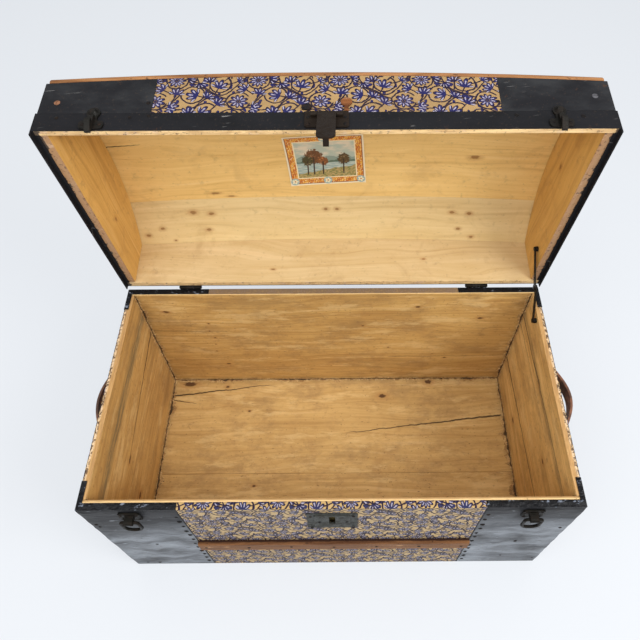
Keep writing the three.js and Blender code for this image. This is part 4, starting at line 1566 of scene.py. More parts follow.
@dataclass
class LidShell:
    """The boards of the lid, paler than the body's."""

    dome: Tone = Tone((0.84, 0.57, 0.22), (0.68, 0.41, 0.12), 0.65)
    dome_low: Tone = Tone((0.72, 0.54, 0.27), (0.6, 0.41, 0.17), 0.6)
    wall: Tone = Tone((0.64, 0.48, 0.26), (0.52, 0.35, 0.15), 0.8)
    end: Tone = Tone((0.68, 0.4, 0.115), (0.5, 0.27, 0.065), 0.9)

    def arc(self, y: float) -> float:
        """How far round the arch a place lies, in millimetres."""
        return math.asin(y / (DOME.radius - 1)) * DOME.radius

    def knots(self, *marks: tuple[float, ...]) -> Rows:
        """Turn marks given by x and y into marks along and round the arch."""
        return tuple((x, self.arc(y), radius, stretch) for x, y, radius, stretch in marks)

    def build(self) -> None:
        """Finish each board of the lid."""
        smears = self.knots((259, 5, 5, 1.8), (-225, 92, 2.4, 3.5), (-195, 100, 1.8, 4.0))
        back = self.knots(
            (-275, 135, 4.5, 1.6), (-240, 139, 4, 1.5), (-341, 169, 3.5, 1.3), (-372, 183, 3.5, 1.4),
            (-250, 174, 3, 2.0), (-14, 133, 3.2, 1.4), (8, 133, 3.2, 1.4), (235, 139, 3.5, 1.5),
            (269, 141, 3.5, 1.4), (251, 175, 3, 1.6), (279, 192, 2.8, 1.6), (-320, 195, 2, 1.5),
        )
        crack = ((-393, -330, self.arc(-35), self.arc(-36), 2.4),)
        for board in (
            BoardWood("dome_plank_1", Lay.LID_DOME, 1.1, self.dome),
            BoardWood("dome_plank_2", Lay.LID_DOME, 2.7, self.dome, (), crack),
            BoardWood("dome_plank_3", Lay.LID_DOME, 3.8, self.dome, smears),
            BoardWood("dome_plank_4", Lay.LID_DOME, 4.4, self.dome_low, back),
            BoardWood("lid_back", Lay.LID_WALL, 5.2, self.wall, ((-120, 398, 2, 2.0), (180, 420, 2, 2.0))),
            BoardWood("lid_front", Lay.LID_WALL, 6.1, self.wall),
            BoardWood("lid_end_left", Lay.LID_END, 7.3, self.end, ((60, 420, 3, 1.6),)),
            BoardWood("lid_end_right", Lay.LID_END, 8.2, self.end, ((-40, 450, 4, 1.6),)),
        ):
            DRESSER.finish(board.node, board.make(), "pine_pale")


@dataclass
class Cladding:
    """The printed and the black sheets over the body and the lid."""

    lid_wear: float = 0.1
    body_wear: float = 0.15
    # Blue grey of the body's black sheets: painted floor reflection with some dust.
    sheen_and_dust: Colour = (0.28, 0.305, 0.335)
    cap_dust: Colour = (0.03, 0.031, 0.033)
    band_dust: Colour = (0.008, 0.008, 0.009)
    body_gloss: float = 0.13
    lid_gloss: float = 0.11

    def build(self) -> None:
        """Finish every sheet."""
        for node, name, wrap, shift in (
            ("print_front", "print front", Wrap.FRONT, 24.0),
            ("print_back", "print back", Wrap.BACK, 61.0),
            ("print_end_left", "print left end", Wrap.END, 12.0),
            ("print_end_right", "print right end", Wrap.END, 80.0),
            ("lid_print", "print lid", Wrap.LID, 38.0),
        ):
            wear = self.lid_wear if wrap is Wrap.LID else self.body_wear
            DRESSER.finish(node, PrintedTin(name, wrap, shift, wear).make(), "printed_tin")
        corners = [f"corner_{face}_{side}" for face in ("front", "back") for side in ("left", "right")]
        for index, node in enumerate(corners):
            seed = 1.7 + index * 2.3
            finish = BlackSheet(f"black sheet {node}", False, seed, 0.3, 3.0, self.body_gloss, self.sheen_and_dust)
            DRESSER.finish(node, finish.make(), "black_iron", Dents())
        for index, node in enumerate(("lid_cap_left", "lid_cap_right", "lid_band")):
            dust = self.band_dust if node == "lid_band" else self.cap_dust
            seed = 4.1 + index * 3.1
            finish = BlackSheet(f"black sheet {node}", True, seed, 0.45, 2.5, self.lid_gloss, dust)
            DRESSER.finish(node, finish.make(), "black_iron")


@dataclass
class Slats:
    """The wooden slats of the body and the lid."""

    lid_pale: Colour = (0.42, 0.2, 0.08)
    lid_deep: Colour = (0.18, 0.075, 0.028)
    body_pale: Colour = (0.25, 0.115, 0.045)
    body_deep: Colour = (0.08, 0.032, 0.014)

    def build(self) -> None:
        """Finish every slat."""
        nodes = ("slat_front", "slat_back", "lid_slat_front", "lid_slat_crown", "lid_slat_back")
        for index, node in enumerate(nodes):
            lid = node.startswith("lid")
            tones = (self.lid_pale, self.lid_deep) if lid else (self.body_pale, self.body_deep)
            finish = SlatWood(f"slat wood {node}", lid, 2.0 + index * 1.9, *tones)
            DRESSER.finish(node, finish.make(), "slat_wood")


@dataclass
class Ironwork:
    """Lock, catches, hinges, stay, handle caps and straps."""

    iron: Colour = (0.009, 0.008, 0.006)
    iron_rust: Colour = (0.018, 0.011, 0.007)
    hasp: Colour = (0.018, 0.012, 0.008)
    steel: Colour = (0.045, 0.047, 0.042)
    steel_rust: Colour = (0.03, 0.026, 0.02)
    brass: Colour = (0.12, 0.09, 0.03)
    brass_rust: Colour = (0.04, 0.03, 0.015)

    def build(self) -> None:
        """Finish every metal and leather fitting."""
        dark = (self.iron, self.iron_rust, 0.3, 0.42, 0.6)
        iron_body = OldMetal("dark iron body", False, 1.0, *dark, 0.1).make()
        iron_lid = OldMetal("dark iron lid", True, 2.0, *dark, 0.22).make()
        hasp = OldMetal("dark iron hasp", True, 3.0, self.hasp, self.iron_rust, 0.2, 0.45, 0.5, 0.12).make()
        steel = OldMetal("lock steel", False, 4.0, self.steel, self.steel_rust, 0.4, 0.5, 0.5).make()
        brass = OldMetal("lock brass", False, 5.0, self.brass, self.brass_rust, 0.7, 0.42, 0.5).make()
        kinds = ("stay_", "hinge_", "handle_cap", "bail_")
        fittings = [name for name in frame["nodes"] if name.startswith(kinds)]
        for name in (*fittings, "catch_left", "catch_right"):
            on_lid = frame["nodes"][name]["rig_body"] == "lid"
            DRESSER.finish(name, iron_lid if on_lid else iron_body, "dark_iron")
        for name in ("hasp_plate", "hasp_flap"):
            DRESSER.finish(name, hasp, "dark_iron")
        DRESSER.finish("lock_plate", steel, "lock_steel")
        DRESSER.finish("lock_bolt", brass, "lock_brass")
        leather = OldLeather("handle leather").make()
        for name in ("handle_strap_left", "handle_strap_right"):
            DRESSER.finish(name, leather, "leather")


@dataclass(frozen=True)
class Head:
    """A nail, tack, rivet or screw head, modelled once and set in many places, in millimetres."""

    radius: float
    height: float
    slotted: bool = False
    steps: tuple[float, float] = (0.32, 0.34)
    crown: float = 0.78
    slot_half: float = 0.16
    slot_depth: float = 0.45

    def model(self) -> Piece:
        """Model the head at the origin, looking up.

        Returns:
            The head.
        """
        deselect()
        size = self.radius * MM
        tall = self.height * MM
        middle = (0, 0, tall / 4)
        bpy.ops.mesh.primitive_cylinder_add(vertices=10, radius=size, depth=tall / 2, location=middle)
        piece = bpy.context.object
        for share in self.steps:
            whole_mesh_selected(piece)
            bpy.ops.mesh.select_mode(type="FACE")
            bpy.ops.mesh.select_all(action="DESELECT")
            bpy.ops.object.mode_set(mode="OBJECT")
            max(piece.data.polygons, key=lambda face: face.center.z + face.normal.z).select = True
            bpy.ops.object.mode_set(mode="EDIT")
            bpy.ops.mesh.inset(thickness=size * share)
            bpy.ops.transform.translate(value=(0, 0, tall * share * self.crown))
            bpy.ops.object.mode_set(mode="OBJECT")
        if self.slotted:
            self.cut_slot(piece)
        smooth(piece, math.radians(40))
        return piece

    def cut_slot(self, piece: Piece) -> None:
        """Press a driver's slot into a screw head.

        Args:
            piece: The head.
        """
        half = self.radius * self.slot_half * MM
        take(piece)
        bpy.ops.object.mode_set(mode="EDIT")
        for side in (-half, half):
            bpy.ops.mesh.select_all(action="SELECT")
            bpy.ops.mesh.bisect(plane_co=(0, side, 0), plane_no=(0, 1, 0))
        bpy.ops.mesh.select_all(action="DESELECT")
        bpy.ops.object.mode_set(mode="OBJECT")
        for face in piece.data.polygons:
            face.select = face.normal.z > 0.5 and abs(face.center.y) < half * 0.9
        bpy.ops.object.mode_set(mode="EDIT")
        bpy.ops.mesh.inset(thickness=half * 0.2)
        bpy.ops.transform.translate(value=(0, 0, -self.height * self.slot_depth * MM))
        bpy.ops.object.mode_set(mode="OBJECT")


@dataclass(frozen=True)
class Spot:
    """Where a head sits and which way it looks, in millimetres, on the lid as if it were shut."""

    place: Point
    facing: Point

    def matrix(self, lid: bool, spin: float, scale: float) -> Matrix:
        """The turn and move that put a head here.

        Args:
            lid: Whether it sits on the lid.
            spin: Its turn about its own axis, in radians.
            scale: Its size beside the model's.

        Returns:
            The matrix, in metres.
        """
        turn = Vector(self.facing).to_track_quat("Z", "Y").to_matrix().to_4x4()
        shape = Matrix.Rotation(spin, 4, "Z") @ Matrix.Scale(scale, 4)
        local = Matrix.Translation(Vector(self.place) * MM) @ turn @ shape
        return open_matrix() @ local if lid else local


def face_spot(side: int, x: float, z: float, proud: float = 0.0) -> Spot:
    """A spot on the front, where side is -1, or on the back, where it is 1."""
    return Spot((x, side * (BOX.half_depth + proud), z), (0, side, 0))


def end_spot(side: int, y: float, z: float, proud: float = 0.0) -> Spot:
    """A spot on the left end, where side is -1, or on the right end, where it is 1."""
    return Spot((side * (BOX.half_length + proud), y, z), (side, 0, 0))


@dataclass
class Fasteners:
    """Tacks, nails, rivets and screws, and how far off the box each of their seats is, in millimetres."""

    tack: Head = Head(4.0, 2.4)
    nail: Head = Head(3.0, 1.5)
    rivet: Head = Head(2.8, 1.7)
    screw: Head = Head(4.2, 1.5, True)
    black: Colour = (0.008, 0.007, 0.007)
    rust: Colour = (0.04, 0.022, 0.012)
    red_screw: Colour = (0.16, 0.075, 0.04)
    red_rust: Colour = (0.28, 0.13, 0.07)
    grey_screw: Colour = (0.12, 0.12, 0.13)
    grey_rust: Colour = (0.06, 0.05, 0.045)
    on_lock: float = 4.0
    on_leaf: float = 2.2
    on_bail: float = 3.2
    on_catch: float = 2.6
    on_handle: float = 8.2
    on_slat: float = 9.2
    on_band: float = 2.5

    def plant(
        self, name: str, head: Head, spots: list[Spot], material: Material, body: str = "trunk_body"
    ) -> None:
        """Set copies of a head at each spot and join them into one piece.

        Args:
            name: The piece's name.
            head: The head.
            spots: Its places.
            material: Its finish.
            body: The body that it rides on.
        """
        model = head.model()
        copies = []
        for spot in spots:
            mesh = model.data.copy()
            mesh.transform(spot.matrix(body == "lid", random.uniform(0, TURN), random.uniform(0.86, 1.12)))
            copy = bpy.data.objects.new(name, mesh)
            bpy.context.scene.collection.objects.link(copy)
            copies.append(copy)
        bpy.data.objects.remove(model)
        take(copies[0])
        for copy in copies:
            copy.select_set(True)
        bpy.ops.object.join()
        piece = bpy.context.object
        piece.name = name
        hand_over(piece, material, body)

    def jitter(self, value: float, reach: float = 2.5) -> float:
        """A value moved a little at random."""
        return value + random.uniform(-reach, reach)

    def body_tacks(self) -> list[Spot]:
        """Rows of tacks down both edges of each black sheet, and along the ends' tops."""
        spots = []
        for side in (-1, 1):
            for row in range(12):
                z = self.jitter(30 + row * 27.2)
                for facing in (-1, 1):
                    spots.append(face_spot(facing, side * self.jitter(255, 1.2), z))
                    spots.append(end_spot(side, facing * self.jitter(173, 1), self.jitter(z, 3)))
            spots += [end_spot(side, y, self.jitter(356, 1)) for y in range(-150, 151, 50)]
        return spots

    def panel_nails(self) -> list[Spot]:
        """The few nails that hold the black sheets to the front, and the like on the back."""
        left = ((-328, 159), (-396, 275), (-398, 289), (-382, 17), (-358, 16))
        right = ((336, 161), (329, 53), (395, 250), (398, 30))
        front = [face_spot(-1, x, z) for x, z in left + right]
        return front + [face_spot(1, -x, z + 9) for x, z in left + right]

    def lid_nails(self) -> list[Spot]:
        """Nails of the lid's band and of the black caps over the dome."""
        front = ((-377, 393), (-275, 393), (-249, 396), (266, 394), (359, 392))
        spots = [face_spot(-1, x, z) for x, z in front]
        spots += [face_spot(1, x, 391.0) for x in range(-380, 381, 76)]
        spots += [end_spot(side, y, 391.0, self.on_band) for side in (-1, 1) for y in range(-186, 187, 62)]
        for x in (-253, 243):
            spots += [face_spot(facing, x, 421.0) for facing in (-1, 1)]
            for step in range(-6, 7):
                angle = math.radians(step * 4.1)
                y = math.sin(angle) * (DOME.radius + DOME.cover)
                height = DOME.height(x, y, DOME.cover)
                spots.append(Spot((self.jitter(x, 1), y, height), (0, math.sin(angle), math.cos(angle))))
        return spots

    def rivets(self) -> tuple[list[Spot], list[Spot]]:
        """Rivets of the lock, hasp, draw bolts, hinges and handles, on the body and on the lid."""
        body = [face_spot(-1, x, z, self.on_lock) for x in (-35, 35) for z in (275, 338)]
        body += [face_spot(-1, x, 308.0, self.on_lock) for x in (-21, 24)]
        lid = [face_spot(-1, x, z, self.on_leaf) for x in (-26, 26) for z in (377, 390)]
        for middle in (-326, 326):
            body += [face_spot(-1, middle + x, z, self.on_bail) for x in (-13, 13) for z in (329, 351)]
            lid += [face_spot(-1, middle + x, 378.0, self.on_catch) for x in (-12, 12)]
        for middle in (-284, 284):
            body += [face_spot(1, middle + x, z, self.on_leaf) for x in (-12, 12) for z in (331, 348)]
            lid += [face_spot(1, middle + x, z, self.on_leaf) for x in (-12, 12) for z in (390, 407)]
        for side in (-1, 1):
            body += [end_spot(side, y, z, self.on_handle) for y in (-95, 95) for z in (292, 320)]
        return body, lid

    def slat_nails(self) -> list[Spot]:
        """Nails through the body's slats."""
        places = [(x, facing) for x in range(-234, 235, 78) for facing in (-1, 1)]
        return [face_spot(facing, x, self.jitter(166), self.on_slat) for x, facing in places]

    def build(self) -> None:
        """Set every head."""
        dull = (self.black, self.rust, 0.4, 0.45, 0.5)
        on_body = OldMetal("nail heads body", False, 6.0, *dull).make()
        on_lid = OldMetal("nail heads lid", True, 7.0, *dull).make()
        self.plant("body_tacks", self.tack, self.body_tacks(), on_body)
        self.plant("body_nails", self.nail, self.panel_nails(), on_body)
        self.plant("lid_nails", self.nail, self.lid_nails(), on_lid, "lid")
        body_rivets, lid_rivets = self.rivets()
        self.plant("rivets_trunk_body", self.rivet, body_rivets, on_body)
        self.plant("rivets_lid", self.rivet, lid_rivets, on_lid, "lid")
        self.plant("slat_nails_trunk_body", self.nail, self.slat_nails(), on_body)
        rusty = OldMetal("rusty screw", True, 8.0, self.red_screw, self.red_rust, 0.2, 0.6, 0.7).make()
        grey = OldMetal("grey screw", True, 9.0, self.grey_screw, self.grey_rust, 0.5, 0.45, 0.4).make()
        self.plant("screw_left", self.screw, [face_spot(-1, -382.5, 422.0)], rusty, "lid")
        self.plant("screw_right", self.screw, [face_spot(-1, 382.8, 430.5)], grey, "lid")


@dataclass(frozen=True)
class Joint:
    """One inner corner of the body, from start to end, with the ways along its two walls, in millimetres."""

    name: str
    start: Point
    end: Point
    first: Point
    second: Point
    reach: float


@dataclass(frozen=True)
class TornLining:
    """What is left of an old paper lining: torn, dirty, pale where it split."""

    name: str
    brown: Colour = (0.3, 0.16, 0.055)
    pale: Colour = (0.74, 0.5, 0.22)
    dark: Colour = (0.03, 0.018, 0.01)

    def make(self) -> Material:
        """Build the lining's material on the strip's own flat map.

        Returns:
            The material.
        """
        graph = Skin(self.name)
        place = graph.place(False)
        flat = graph.node("ShaderNodeUVMap", uv_map="strip")
        _, v, _ = graph.parts(Signal(graph, flat.outputs[0]))
        coarse = graph.noise(place, 0.045, 4, 0.7)
        fine = graph.noise(place, 0.3, 4, 0.75)
        colour = graph.mix(fine.step(0.4, 0.6), self.brown, self.pale)
        colour = graph.mix(coarse.step(0.42, 0.6) * 0.75, colour, self.brown)
        gap = (v - 0.5 + (coarse - 0.5) * 0.5).size().step(0.2, 0.08)
        colour = graph.mix(gap.most(fine.step(0.56, 0.62)) * 0.9, colour, self.dark)
        normal = graph.bump(fine * 2 + coarse, 0.6, 0.8)
        rough = fine * 0.2 + 0.6
        return graph.finished(colour, rough, normal, 0.2)


@dataclass
class Linings:
    """Ragged strips of torn lining in the inner corners of the body, in millimetres."""

    top: float = 362.0
    step: float = 3.0
    rows: int = 6
    thickness: float = 0.3

    def joints(self) -> list[Joint]:
        """The eight inner corners.

        Returns:
            The joints.
        """
        made = []
        far, front, back, low = BOX.inner_half_length, BOX.inner_front, BOX.inner_back, BOX.floor
        for side, x, inward in (("left", -far, (1, 0, 0)), ("right", far, (-1, 0, 0))):
            front_foot, back_foot = (x, front, low), (x, back, low)
            made += [
                Joint(f"{side}_floor", front_foot, back_foot, inward, (0, 0, 1), 13.0),
                Joint(f"{side}_back", back_foot, (x, back, self.top), inward, (0, -1, 0), 10.0),
                Joint(f"{side}_front", front_foot, (x, front, self.top), inward, (0, 1, 0), 5.0),
            ]
        for side, y, inward, reach in (("back", back, -1, 8.0), ("front", front, 1, 5.0)):
            start, end = (-far, y, low), (far, y, low)
            made.append(Joint(f"{side}_floor", start, end, (0, inward, 0), (0, 0, 1), reach))
        return made

    def ragged(self, along: float, seed: float) -> float:
        """How far the torn edge reaches at a place, as a share from about 0 to 1.6."""
        broad = noise.noise(Vector((along / 34, seed, 0)))
        torn = noise.noise(Vector((along / 7, seed, 5)))
        bits = noise.noise(Vector((along / 3.1, seed, 9)))
        return max(0.06, 0.55 + broad * 0.9 + torn * 0.7 + bits * 0.35)

    def build_one(self, joint: Joint, seed: float, material: Material) -> None:
        """Lay one strip into its corner.

        Args:
            joint: The corner.
            seed: What makes its tears its own.
            material: Its finish.
        """
        start, end = Vector(joint.start), Vector(joint.end)
        first, second = Vector(joint.first), Vector(joint.second)
        length = (end - start).length
        piece = flat_sheet(f"torn_lining_{joint.name}", "strip", round(length / self.step), self.rows)
        for vertex in piece.data.vertices:
            along = (vertex.co.x + 0.5) * length
            side = vertex.co.y * 2
            wide = joint.reach * self.ragged(along, seed + (3.7 if side < 0 else 0.0))
            lump = 1.5 + noise.noise(Vector((along / 6, side * 2, seed))) * 2.2
            proud = max(-0.3, lump * (1 - abs(side) ** 1.5) - 0.25)
            one, other = max(0.0, -side) * wide + proud, max(0.0, side) * wide + proud
            vertex.co = (start.lerp(end, along / length) + first * one + second * other) * MM
        whole_mesh_selected(piece)
        bpy.ops.mesh.normals_make_consistent(inside=False)
        bpy.ops.object.mode_set(mode="OBJECT")
        apply_modifier(piece, "SOLIDIFY", thickness=self.thickness * MM, offset=0.0)
        smooth(piece, math.radians(30))
        hand_over(piece, material, "trunk_body")

    def build(self) -> None:
        """Lay every strip."""
        material = TornLining("torn lining").make()
        for index, joint in enumerate(self.joints()):
            self.build_one(joint, 1.3 + index * 2.9, material)


@dataclass
class LidMarks:
    """The wooden stud with its peg and the broken black boss on the lid's front, in millimetres."""

    stud: tuple[float, float, float] = (27.6, 420.0, 8.2)
    stud_height: float = 2.6
    peg: tuple[float, float, float] = (6.0, 2.2, 11.0)
    boss: tuple[float, float, float] = (-29.0, 410.5, 8.5)
    boss_height: float = 2.4
    wood: Colour = (0.3, 0.11, 0.035)
    wood_deep: Colour = (0.1, 0.035, 0.014)
    black: Colour = (0.01, 0.009, 0.01)
    rust: Colour = (0.04, 0.02, 0.012)

    def seat(self, piece: Piece, name: str, material: Material) -> None:
        """Move a mesh modelled on the shut lid to the open one, dress it and let it ride on the lid."""
        take(piece)
        bpy.ops.object.transform_apply(location=True, rotation=True, scale=True)
        piece.name = name
        piece.data.transform(open_matrix())
        soften(piece, 0.5)
        hand_over(piece, material, "lid")

    def disc(self, x: float, z: float, radius: float, tall: float, sides: int) -> Piece:
        """Model a low disc standing out of the lid's front."""
        deselect()
        bpy.ops.mesh.primitive_cylinder_add(
            vertices=sides,
            radius=radius * MM,
            depth=tall * MM,
            location=(x * MM, -(BOX.half_depth + tall / 2) * MM, z * MM),
            rotation=(math.pi / 2, 0, 0),
        )
        return bpy.context.object

    def build(self) -> None:
        """Model the stud with its peg, and the boss."""
        wood = SlatWood("stud wood", True, 5.5, self.wood, self.wood_deep).make()
        x, z, radius = self.stud
        stud = self.disc(x, z, radius, self.stud_height, 28)
        deselect()
        foot = (x, -BOX.half_depth - self.peg[1] / 2, z - radius - self.peg[2] / 2 + 2)
        place, scale = (tuple(part * MM for part in parts) for parts in (foot, self.peg))
        bpy.ops.mesh.primitive_cube_add(size=1, location=place, scale=scale)
        stud.select_set(True)
        bpy.context.view_layer.objects.active = stud
        bpy.ops.object.join()
        self.seat(bpy.context.object, "lid_stud", wood)
        black = OldMetal("black boss", True, 7.0, self.black, self.rust, 0.3, 0.4, 0.5).make()
        x, z, radius = self.boss
        boss = self.disc(x, z, radius, self.boss_height, 22)
        for vertex in boss.data.vertices:
            angle = math.atan2(vertex.co.y, vertex.co.x)
            torn = 0.86 + 0.3 * noise.noise(Vector((math.cos(angle) * 2.2, math.sin(angle) * 2.2, 3.0)))
            vertex.co.x *= torn * 1.05
            vertex.co.y *= torn * 0.8
        self.seat(boss, "lid_boss", black)


@dataclass(frozen=True)
class LabelPaper:
    """An old printed paper label: a lake and autumn trees inside a scrolled orange border."""

    name: str
    width: float
    height: float
    paper: Colour = (0.8, 0.68, 0.46)
    orange: Colour = (0.6, 0.2, 0.03)
    red: Colour = (0.38, 0.07, 0.02)
    yellow: Colour = (0.78, 0.46, 0.08)
    cream: Colour = (0.8, 0.68, 0.42)
    line: Colour = (0.16, 0.05, 0.03)
    rosette: Colour = (0.3, 0.4, 0.36)
    sky: Colour = (0.42, 0.46, 0.36)
    cloud: Colour = (0.68, 0.58, 0.42)
    far_hills: Colour = (0.24, 0.3, 0.24)
    near_hills: Colour = (0.1, 0.15, 0.1)
    lake: Colour = (0.27, 0.36, 0.33)
    ripple: Colour = (0.52, 0.55, 0.45)
    grass: Colour = (0.2, 0.2, 0.06)
    dry_grass: Colour = (0.5, 0.34, 0.14)
    bark: Colour = (0.05, 0.03, 0.018)
    faded: Colour = (0.62, 0.48, 0.27)
    dirt: Colour = (0.2, 0.12, 0.06)
    trees: tuple[tuple[float, float, float, float, Colour], ...] = (
        (50, 70, 17, 20, (0.13, 0.055, 0.022)),
        (38, 60, 11, 13, (0.06, 0.05, 0.02)),
        (66, 58, 10, 12, (0.2, 0.075, 0.025)),
        (104, 62, 12, 15, (0.09, 0.055, 0.022)),
    )

    def edge(self, p: Signal, q: Signal) -> Signal:
        """How far a place is from the nearest edge of the paper."""
        return p.least(p * -1.0 + self.width).least(q.least(q * -1.0 + self.height))

    def border(self, graph: Graph, p: Signal, q: Signal, colour: Signal) -> Signal:
        """Draw the border: curls between two lines, with rosettes half way along and in the lower corners.

        Args:
            graph: The material's graph.
            p: The distance from the left edge.
            q: The distance from the lower edge.
            colour: What is already drawn.

        Returns:
            The colour with the border.
        """
        edge = self.edge(p, q)
        curl = (p * 0.9 + (q * 0.7).sine() * 2.2).sine() * (q * 0.85 + (p * 0.62).sine() * 2.0).cosine()
        spots = graph.clouds(p / 3.4, q / 3.4, 0.0, detail=2)
        band = graph.coats(
            graph.mix(curl.step(0.1, 0.5), self.orange, self.yellow),
            (curl.step(-0.25, -0.6), self.red),
            (spots.step(0.6, 0.66), self.cream),
        )
        colour = graph.coats(
            colour,
            (edge.step(15.6, 15.0) * edge.step(3.2, 3.8), band),
            ((edge - 16.4).size().step(1.3, 0.8), self.cream),
            ((edge - 3.6).size().step(0.8, 0.4), self.line),
        )
        half, right, top = self.width / 2, self.width - 9, self.height - 9
        for middle, side in ((half, 9.0), (half, top), (9.0, 9.0), (right, 9.0)):
            du, dv = p - middle, q - side
            far = graph.distance(du, dv)
            lobes = (graph.calc("ARCTAN2", dv, du) * 2.5).cosine().size()
            colour = graph.coats(
                colour,
                (far.step(8.4, 7.6), self.rosette),
                ((far - lobes * 3.2).step(3.2, 2.4), self.cream),
                (far.step(1.8, 1.2), self.red),
            )
        return colour

    def picture(self, graph: Graph, p: Signal, q: Signal) -> Signal:
        """Paint sky, hills, water, meadow and trees.

        Args:
            graph: The material's graph.
            p: The distance from the left edge.
            q: The distance from the lower edge.

        Returns:
            The picture's colour.
        """
        clouds = graph.clouds(p / 26, q / 11, 1.0, detail=4)
        ridge = graph.clouds(p / 22, 3.0, 0.0, detail=3) * 26
        near = graph.clouds(p / 14, 8.0, 0.0, detail=3) * 18
        ripples = graph.clouds(p / 14, q / 1.6, 5.0, detail=2)
        shore = graph.clouds(p / 20, 1.0, 2.0, detail=3) * 14 + (p - 40) * 0.16
        blades = graph.clouds(p / 5, q / 3, 2.0, detail=4)
        colour = graph.coats(
            graph.mix(clouds.step(0.4, 0.65), self.sky, self.cloud),
            ((q - 56 - ridge).step(0.8, -0.8), self.far_hills),
            ((q - 50 - near).step(0.8, -0.8), self.near_hills),
            ((q - 54).step(0.4, -0.4), graph.mix(ripples.step(0.45, 0.6), self.lake, self.ripple)),
            ((q - 24 - shore).step(0.6, -0.6), graph.mix(blades.step(0.4, 0.62), self.grass, self.dry_grass)),
        )
        for middle, base, wide, tall, leaf in self.trees:
            rag = graph.clouds(p / 4, q / 4, float(middle), detail=3) - 0.5
            far = graph.distance((p - middle) / wide, (q - base) / tall)
            light = graph.mix(rag.step(0.0, 0.2), leaf, tuple(part * 2.6 for part in leaf))
            colour = graph.mix((far + rag * 1.1).step(1.0, 0.86), colour, light)
            stem = (p - middle - (q - base) * 0.06).size().step(1.6, 1.0)
            colour = graph.mix(stem * (q - base).step(0, -1) * q.step(24, 25), colour, self.bark)
        return colour

    def make(self) -> Material:
        """Build the paper's material on the label's own flat map.

        Returns:
            The material.
        """
        graph = Skin(self.name)
        flat = graph.node("ShaderNodeUVMap", uv_map="sheet")
        u, v, _ = graph.parts(Signal(graph, flat.outputs[0]))
        p, q = u * self.width, v * self.height
        colour = graph.mix(self.edge(p, q).step(15.4, 16.0), self.paper, self.picture(graph, p, q))
        colour = self.border(graph, p, q, colour)
        grain = graph.clouds(p / 2, q / 2, 7.0, detail=4)
        worn = graph.clouds(p / 16, q / 16, 9.0, detail=5, rough=0.7)
        colour = graph.mix(worn.step(0.58, 0.7) * 0.3, colour, self.faded)
        colour = graph.mix(grain.step(0.6, 0.75) * 0.2, colour, self.dirt)
        rough = grain * 0.2 + 0.5
        normal = graph.bump(grain * 0.4 + worn, 0.3, 0.4)
        return graph.finished(colour, rough, normal, 0.3)


@dataclass
class PaperLabel:
    """The paper label pasted inside the dome, in millimetres on the shut lid."""

    middle: tuple[float, float] = (-11.0, 13.0)
    width: float = 142.0
    height: float = 126.0
    turn: float = 3.6
    stand: float = 0.45
    thickness: float = 0.25
    steps: int = 30

    def build(self) -> None:
        """Lay a thin sheet against the dome's inner face."""
        piece = flat_sheet("paper_label", "sheet", self.steps, self.steps)
        turn = Matrix.Rotation(math.radians(-self.turn), 2)
        for vertex in piece.data.vertices:
            flat = Vector((vertex.co.x * self.width, vertex.co.y * -self.height))
            x, y = turn @ flat + Vector(self.middle)
            corner = max(0.0, abs(vertex.co.x) - 0.42) + max(0.0, abs(vertex.co.y) - 0.42)
            lift = self.stand + corner * 9 + 0.15 * math.sin(x / 6) * math.cos(y / 7)
            vertex.co = Vector((x, y, DOME.height(x, y) - lift)) * MM
        piece.data.transform(open_matrix())
        apply_modifier(piece, "SOLIDIFY", thickness=self.thickness * MM, offset=0.0)
        smooth(piece, math.radians(40))
        hand_over(piece, LabelPaper("paper label", self.width, self.height).make(), "lid")


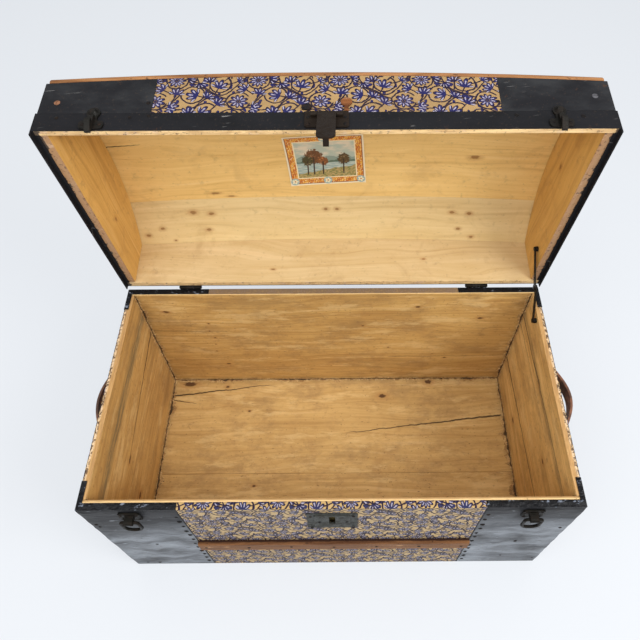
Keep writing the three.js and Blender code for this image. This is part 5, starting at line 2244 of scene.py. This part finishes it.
@dataclass
class Studio:
    """The pale floor, the soft lights and the camera."""

    floor_half: float = 9.0
    floor_white: float = 0.72
    floor_shade: Rgba = (0.82, 0.83, 0.85, 1)
    floor_glow: Rgba = (0.79, 0.825, 0.87, 1)
    room: Rgba = (0.93, 0.96, 1.0, 1)
    room_strength: float = 0.55
    backdrop: Rgba = (0.84, 0.88, 0.92, 1)
    camera_place: Point = (0.0268, -0.5133, 1.3698)
    camera_down: float = 54.43
    camera_turn: float = -0.43
    lens: float = 35.08
    shift: tuple[float, float] = (-0.0466, -0.0416)

    def build(self) -> None:
        """Make the floor, the lights, the world and the camera."""
        self.make_floor()
        self.make_world()
        self.make_light("key light", (1.7, -1.0, 2.2), (0, 0.1, 0.4), 1.3, 52)
        self.make_light("fill light", (-1.1, -1.6, 2.5), (0, 0.1, 0.4), 2.4, 50)
        self.make_light("top light", (0.0, 0.3, 3.0), (0, 0.1, 0.3), 2.4, 22)
        self.make_camera()

    def make_floor(self) -> None:
        """Lay a big pale floor that shows white and keeps the shadow."""
        deselect()
        bpy.ops.mesh.primitive_plane_add(size=self.floor_half * 2, location=(0, 0, 0))
        floor = bpy.context.object
        floor.name = "studio_floor"
        material = bpy.data.materials.new("studio floor")
        material.use_nodes = True
        tree = material.node_tree
        tree.nodes.clear()
        graph = Graph(tree)
        dull = graph.node("ShaderNodeBsdfDiffuse")
        dull.inputs["Color"].default_value = self.floor_shade
        glow = graph.node("ShaderNodeEmission")
        glow.inputs["Color"].default_value = self.floor_glow
        rays = graph.node("ShaderNodeLightPath")
        seen = Signal(graph, rays.outputs["Is Camera Ray"]).most(Signal(graph, rays.outputs["Is Glossy Ray"]))
        seen = seen.most(Signal(graph, rays.outputs["Is Transmission Ray"]))
        blend = graph.node("ShaderNodeMixShader")
        graph.feed(blend.inputs[0], seen * self.floor_white)
        tree.links.new(dull.outputs[0], blend.inputs[1])
        tree.links.new(glow.outputs[0], blend.inputs[2])
        ending = graph.node("ShaderNodeOutputMaterial")
        tree.links.new(blend.outputs[0], ending.inputs["Surface"])
        floor.data.materials.append(material)

    def make_world(self) -> None:
        """Give the room an even pale light."""
        world = bpy.data.worlds.new("studio")
        bpy.context.scene.world = world
        world.use_nodes = True
        tree = world.node_tree
        back = tree.nodes["Background"]
        back.inputs["Color"].default_value = self.room
        back.inputs["Strength"].default_value = self.room_strength
        seen = tree.nodes.new("ShaderNodeBackground")
        seen.inputs["Color"].default_value = self.backdrop
        rays = tree.nodes.new("ShaderNodeLightPath")
        blend = tree.nodes.new("ShaderNodeMixShader")
        tree.links.new(rays.outputs["Is Camera Ray"], blend.inputs[0])
        tree.links.new(back.outputs[0], blend.inputs[1])
        tree.links.new(seen.outputs[0], blend.inputs[2])
        tree.links.new(blend.outputs[0], tree.nodes["World Output"].inputs["Surface"])

    def make_light(self, name: str, place: Point, target: Point, size: float, power: float) -> None:
        """Hang one soft lamp.

        Args:
            name: The lamp's name.
            place: Where it hangs, in metres.
            target: What it points at, in metres.
            size: The length of its side, in metres.
            power: Its power in watts.
        """
        lamp = bpy.data.lights.new(name, "AREA")
        lamp.size = size
        lamp.energy = power
        holder = bpy.data.objects.new(name, lamp)
        bpy.context.scene.collection.objects.link(holder)
        holder.location = place
        holder.rotation_euler = (Vector(target) - Vector(place)).to_track_quat("-Z", "Y").to_euler()

    def make_camera(self) -> None:
        """Set the camera where the picture is taken from."""
        data = bpy.data.cameras.new("camera")
        data.lens = self.lens
        data.sensor_width = 36
        data.shift_x, data.shift_y = self.shift
        camera = bpy.data.objects.new("camera", data)
        bpy.context.scene.collection.objects.link(camera)
        camera.location = self.camera_place
        camera.rotation_euler = (math.radians(90 - self.camera_down), 0, math.radians(self.camera_turn))
        bpy.context.scene.camera = camera
        bpy.context.scene.view_settings.view_transform = "Standard"


def main() -> None:
    """Build and dress the trunk piece by piece."""
    logging.basicConfig(level=logging.INFO, format="%(message)s")
    random.seed(11)
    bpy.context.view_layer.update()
    parts = (Studio, Chest, LidShell, Cladding, Slats, Ironwork, Fasteners, Linings, LidMarks, PaperLabel)
    for part in parts:
        part().build()
        LOG.info("%s done", part.__name__)
    deselect()


if __name__ == "__main__":
    main()
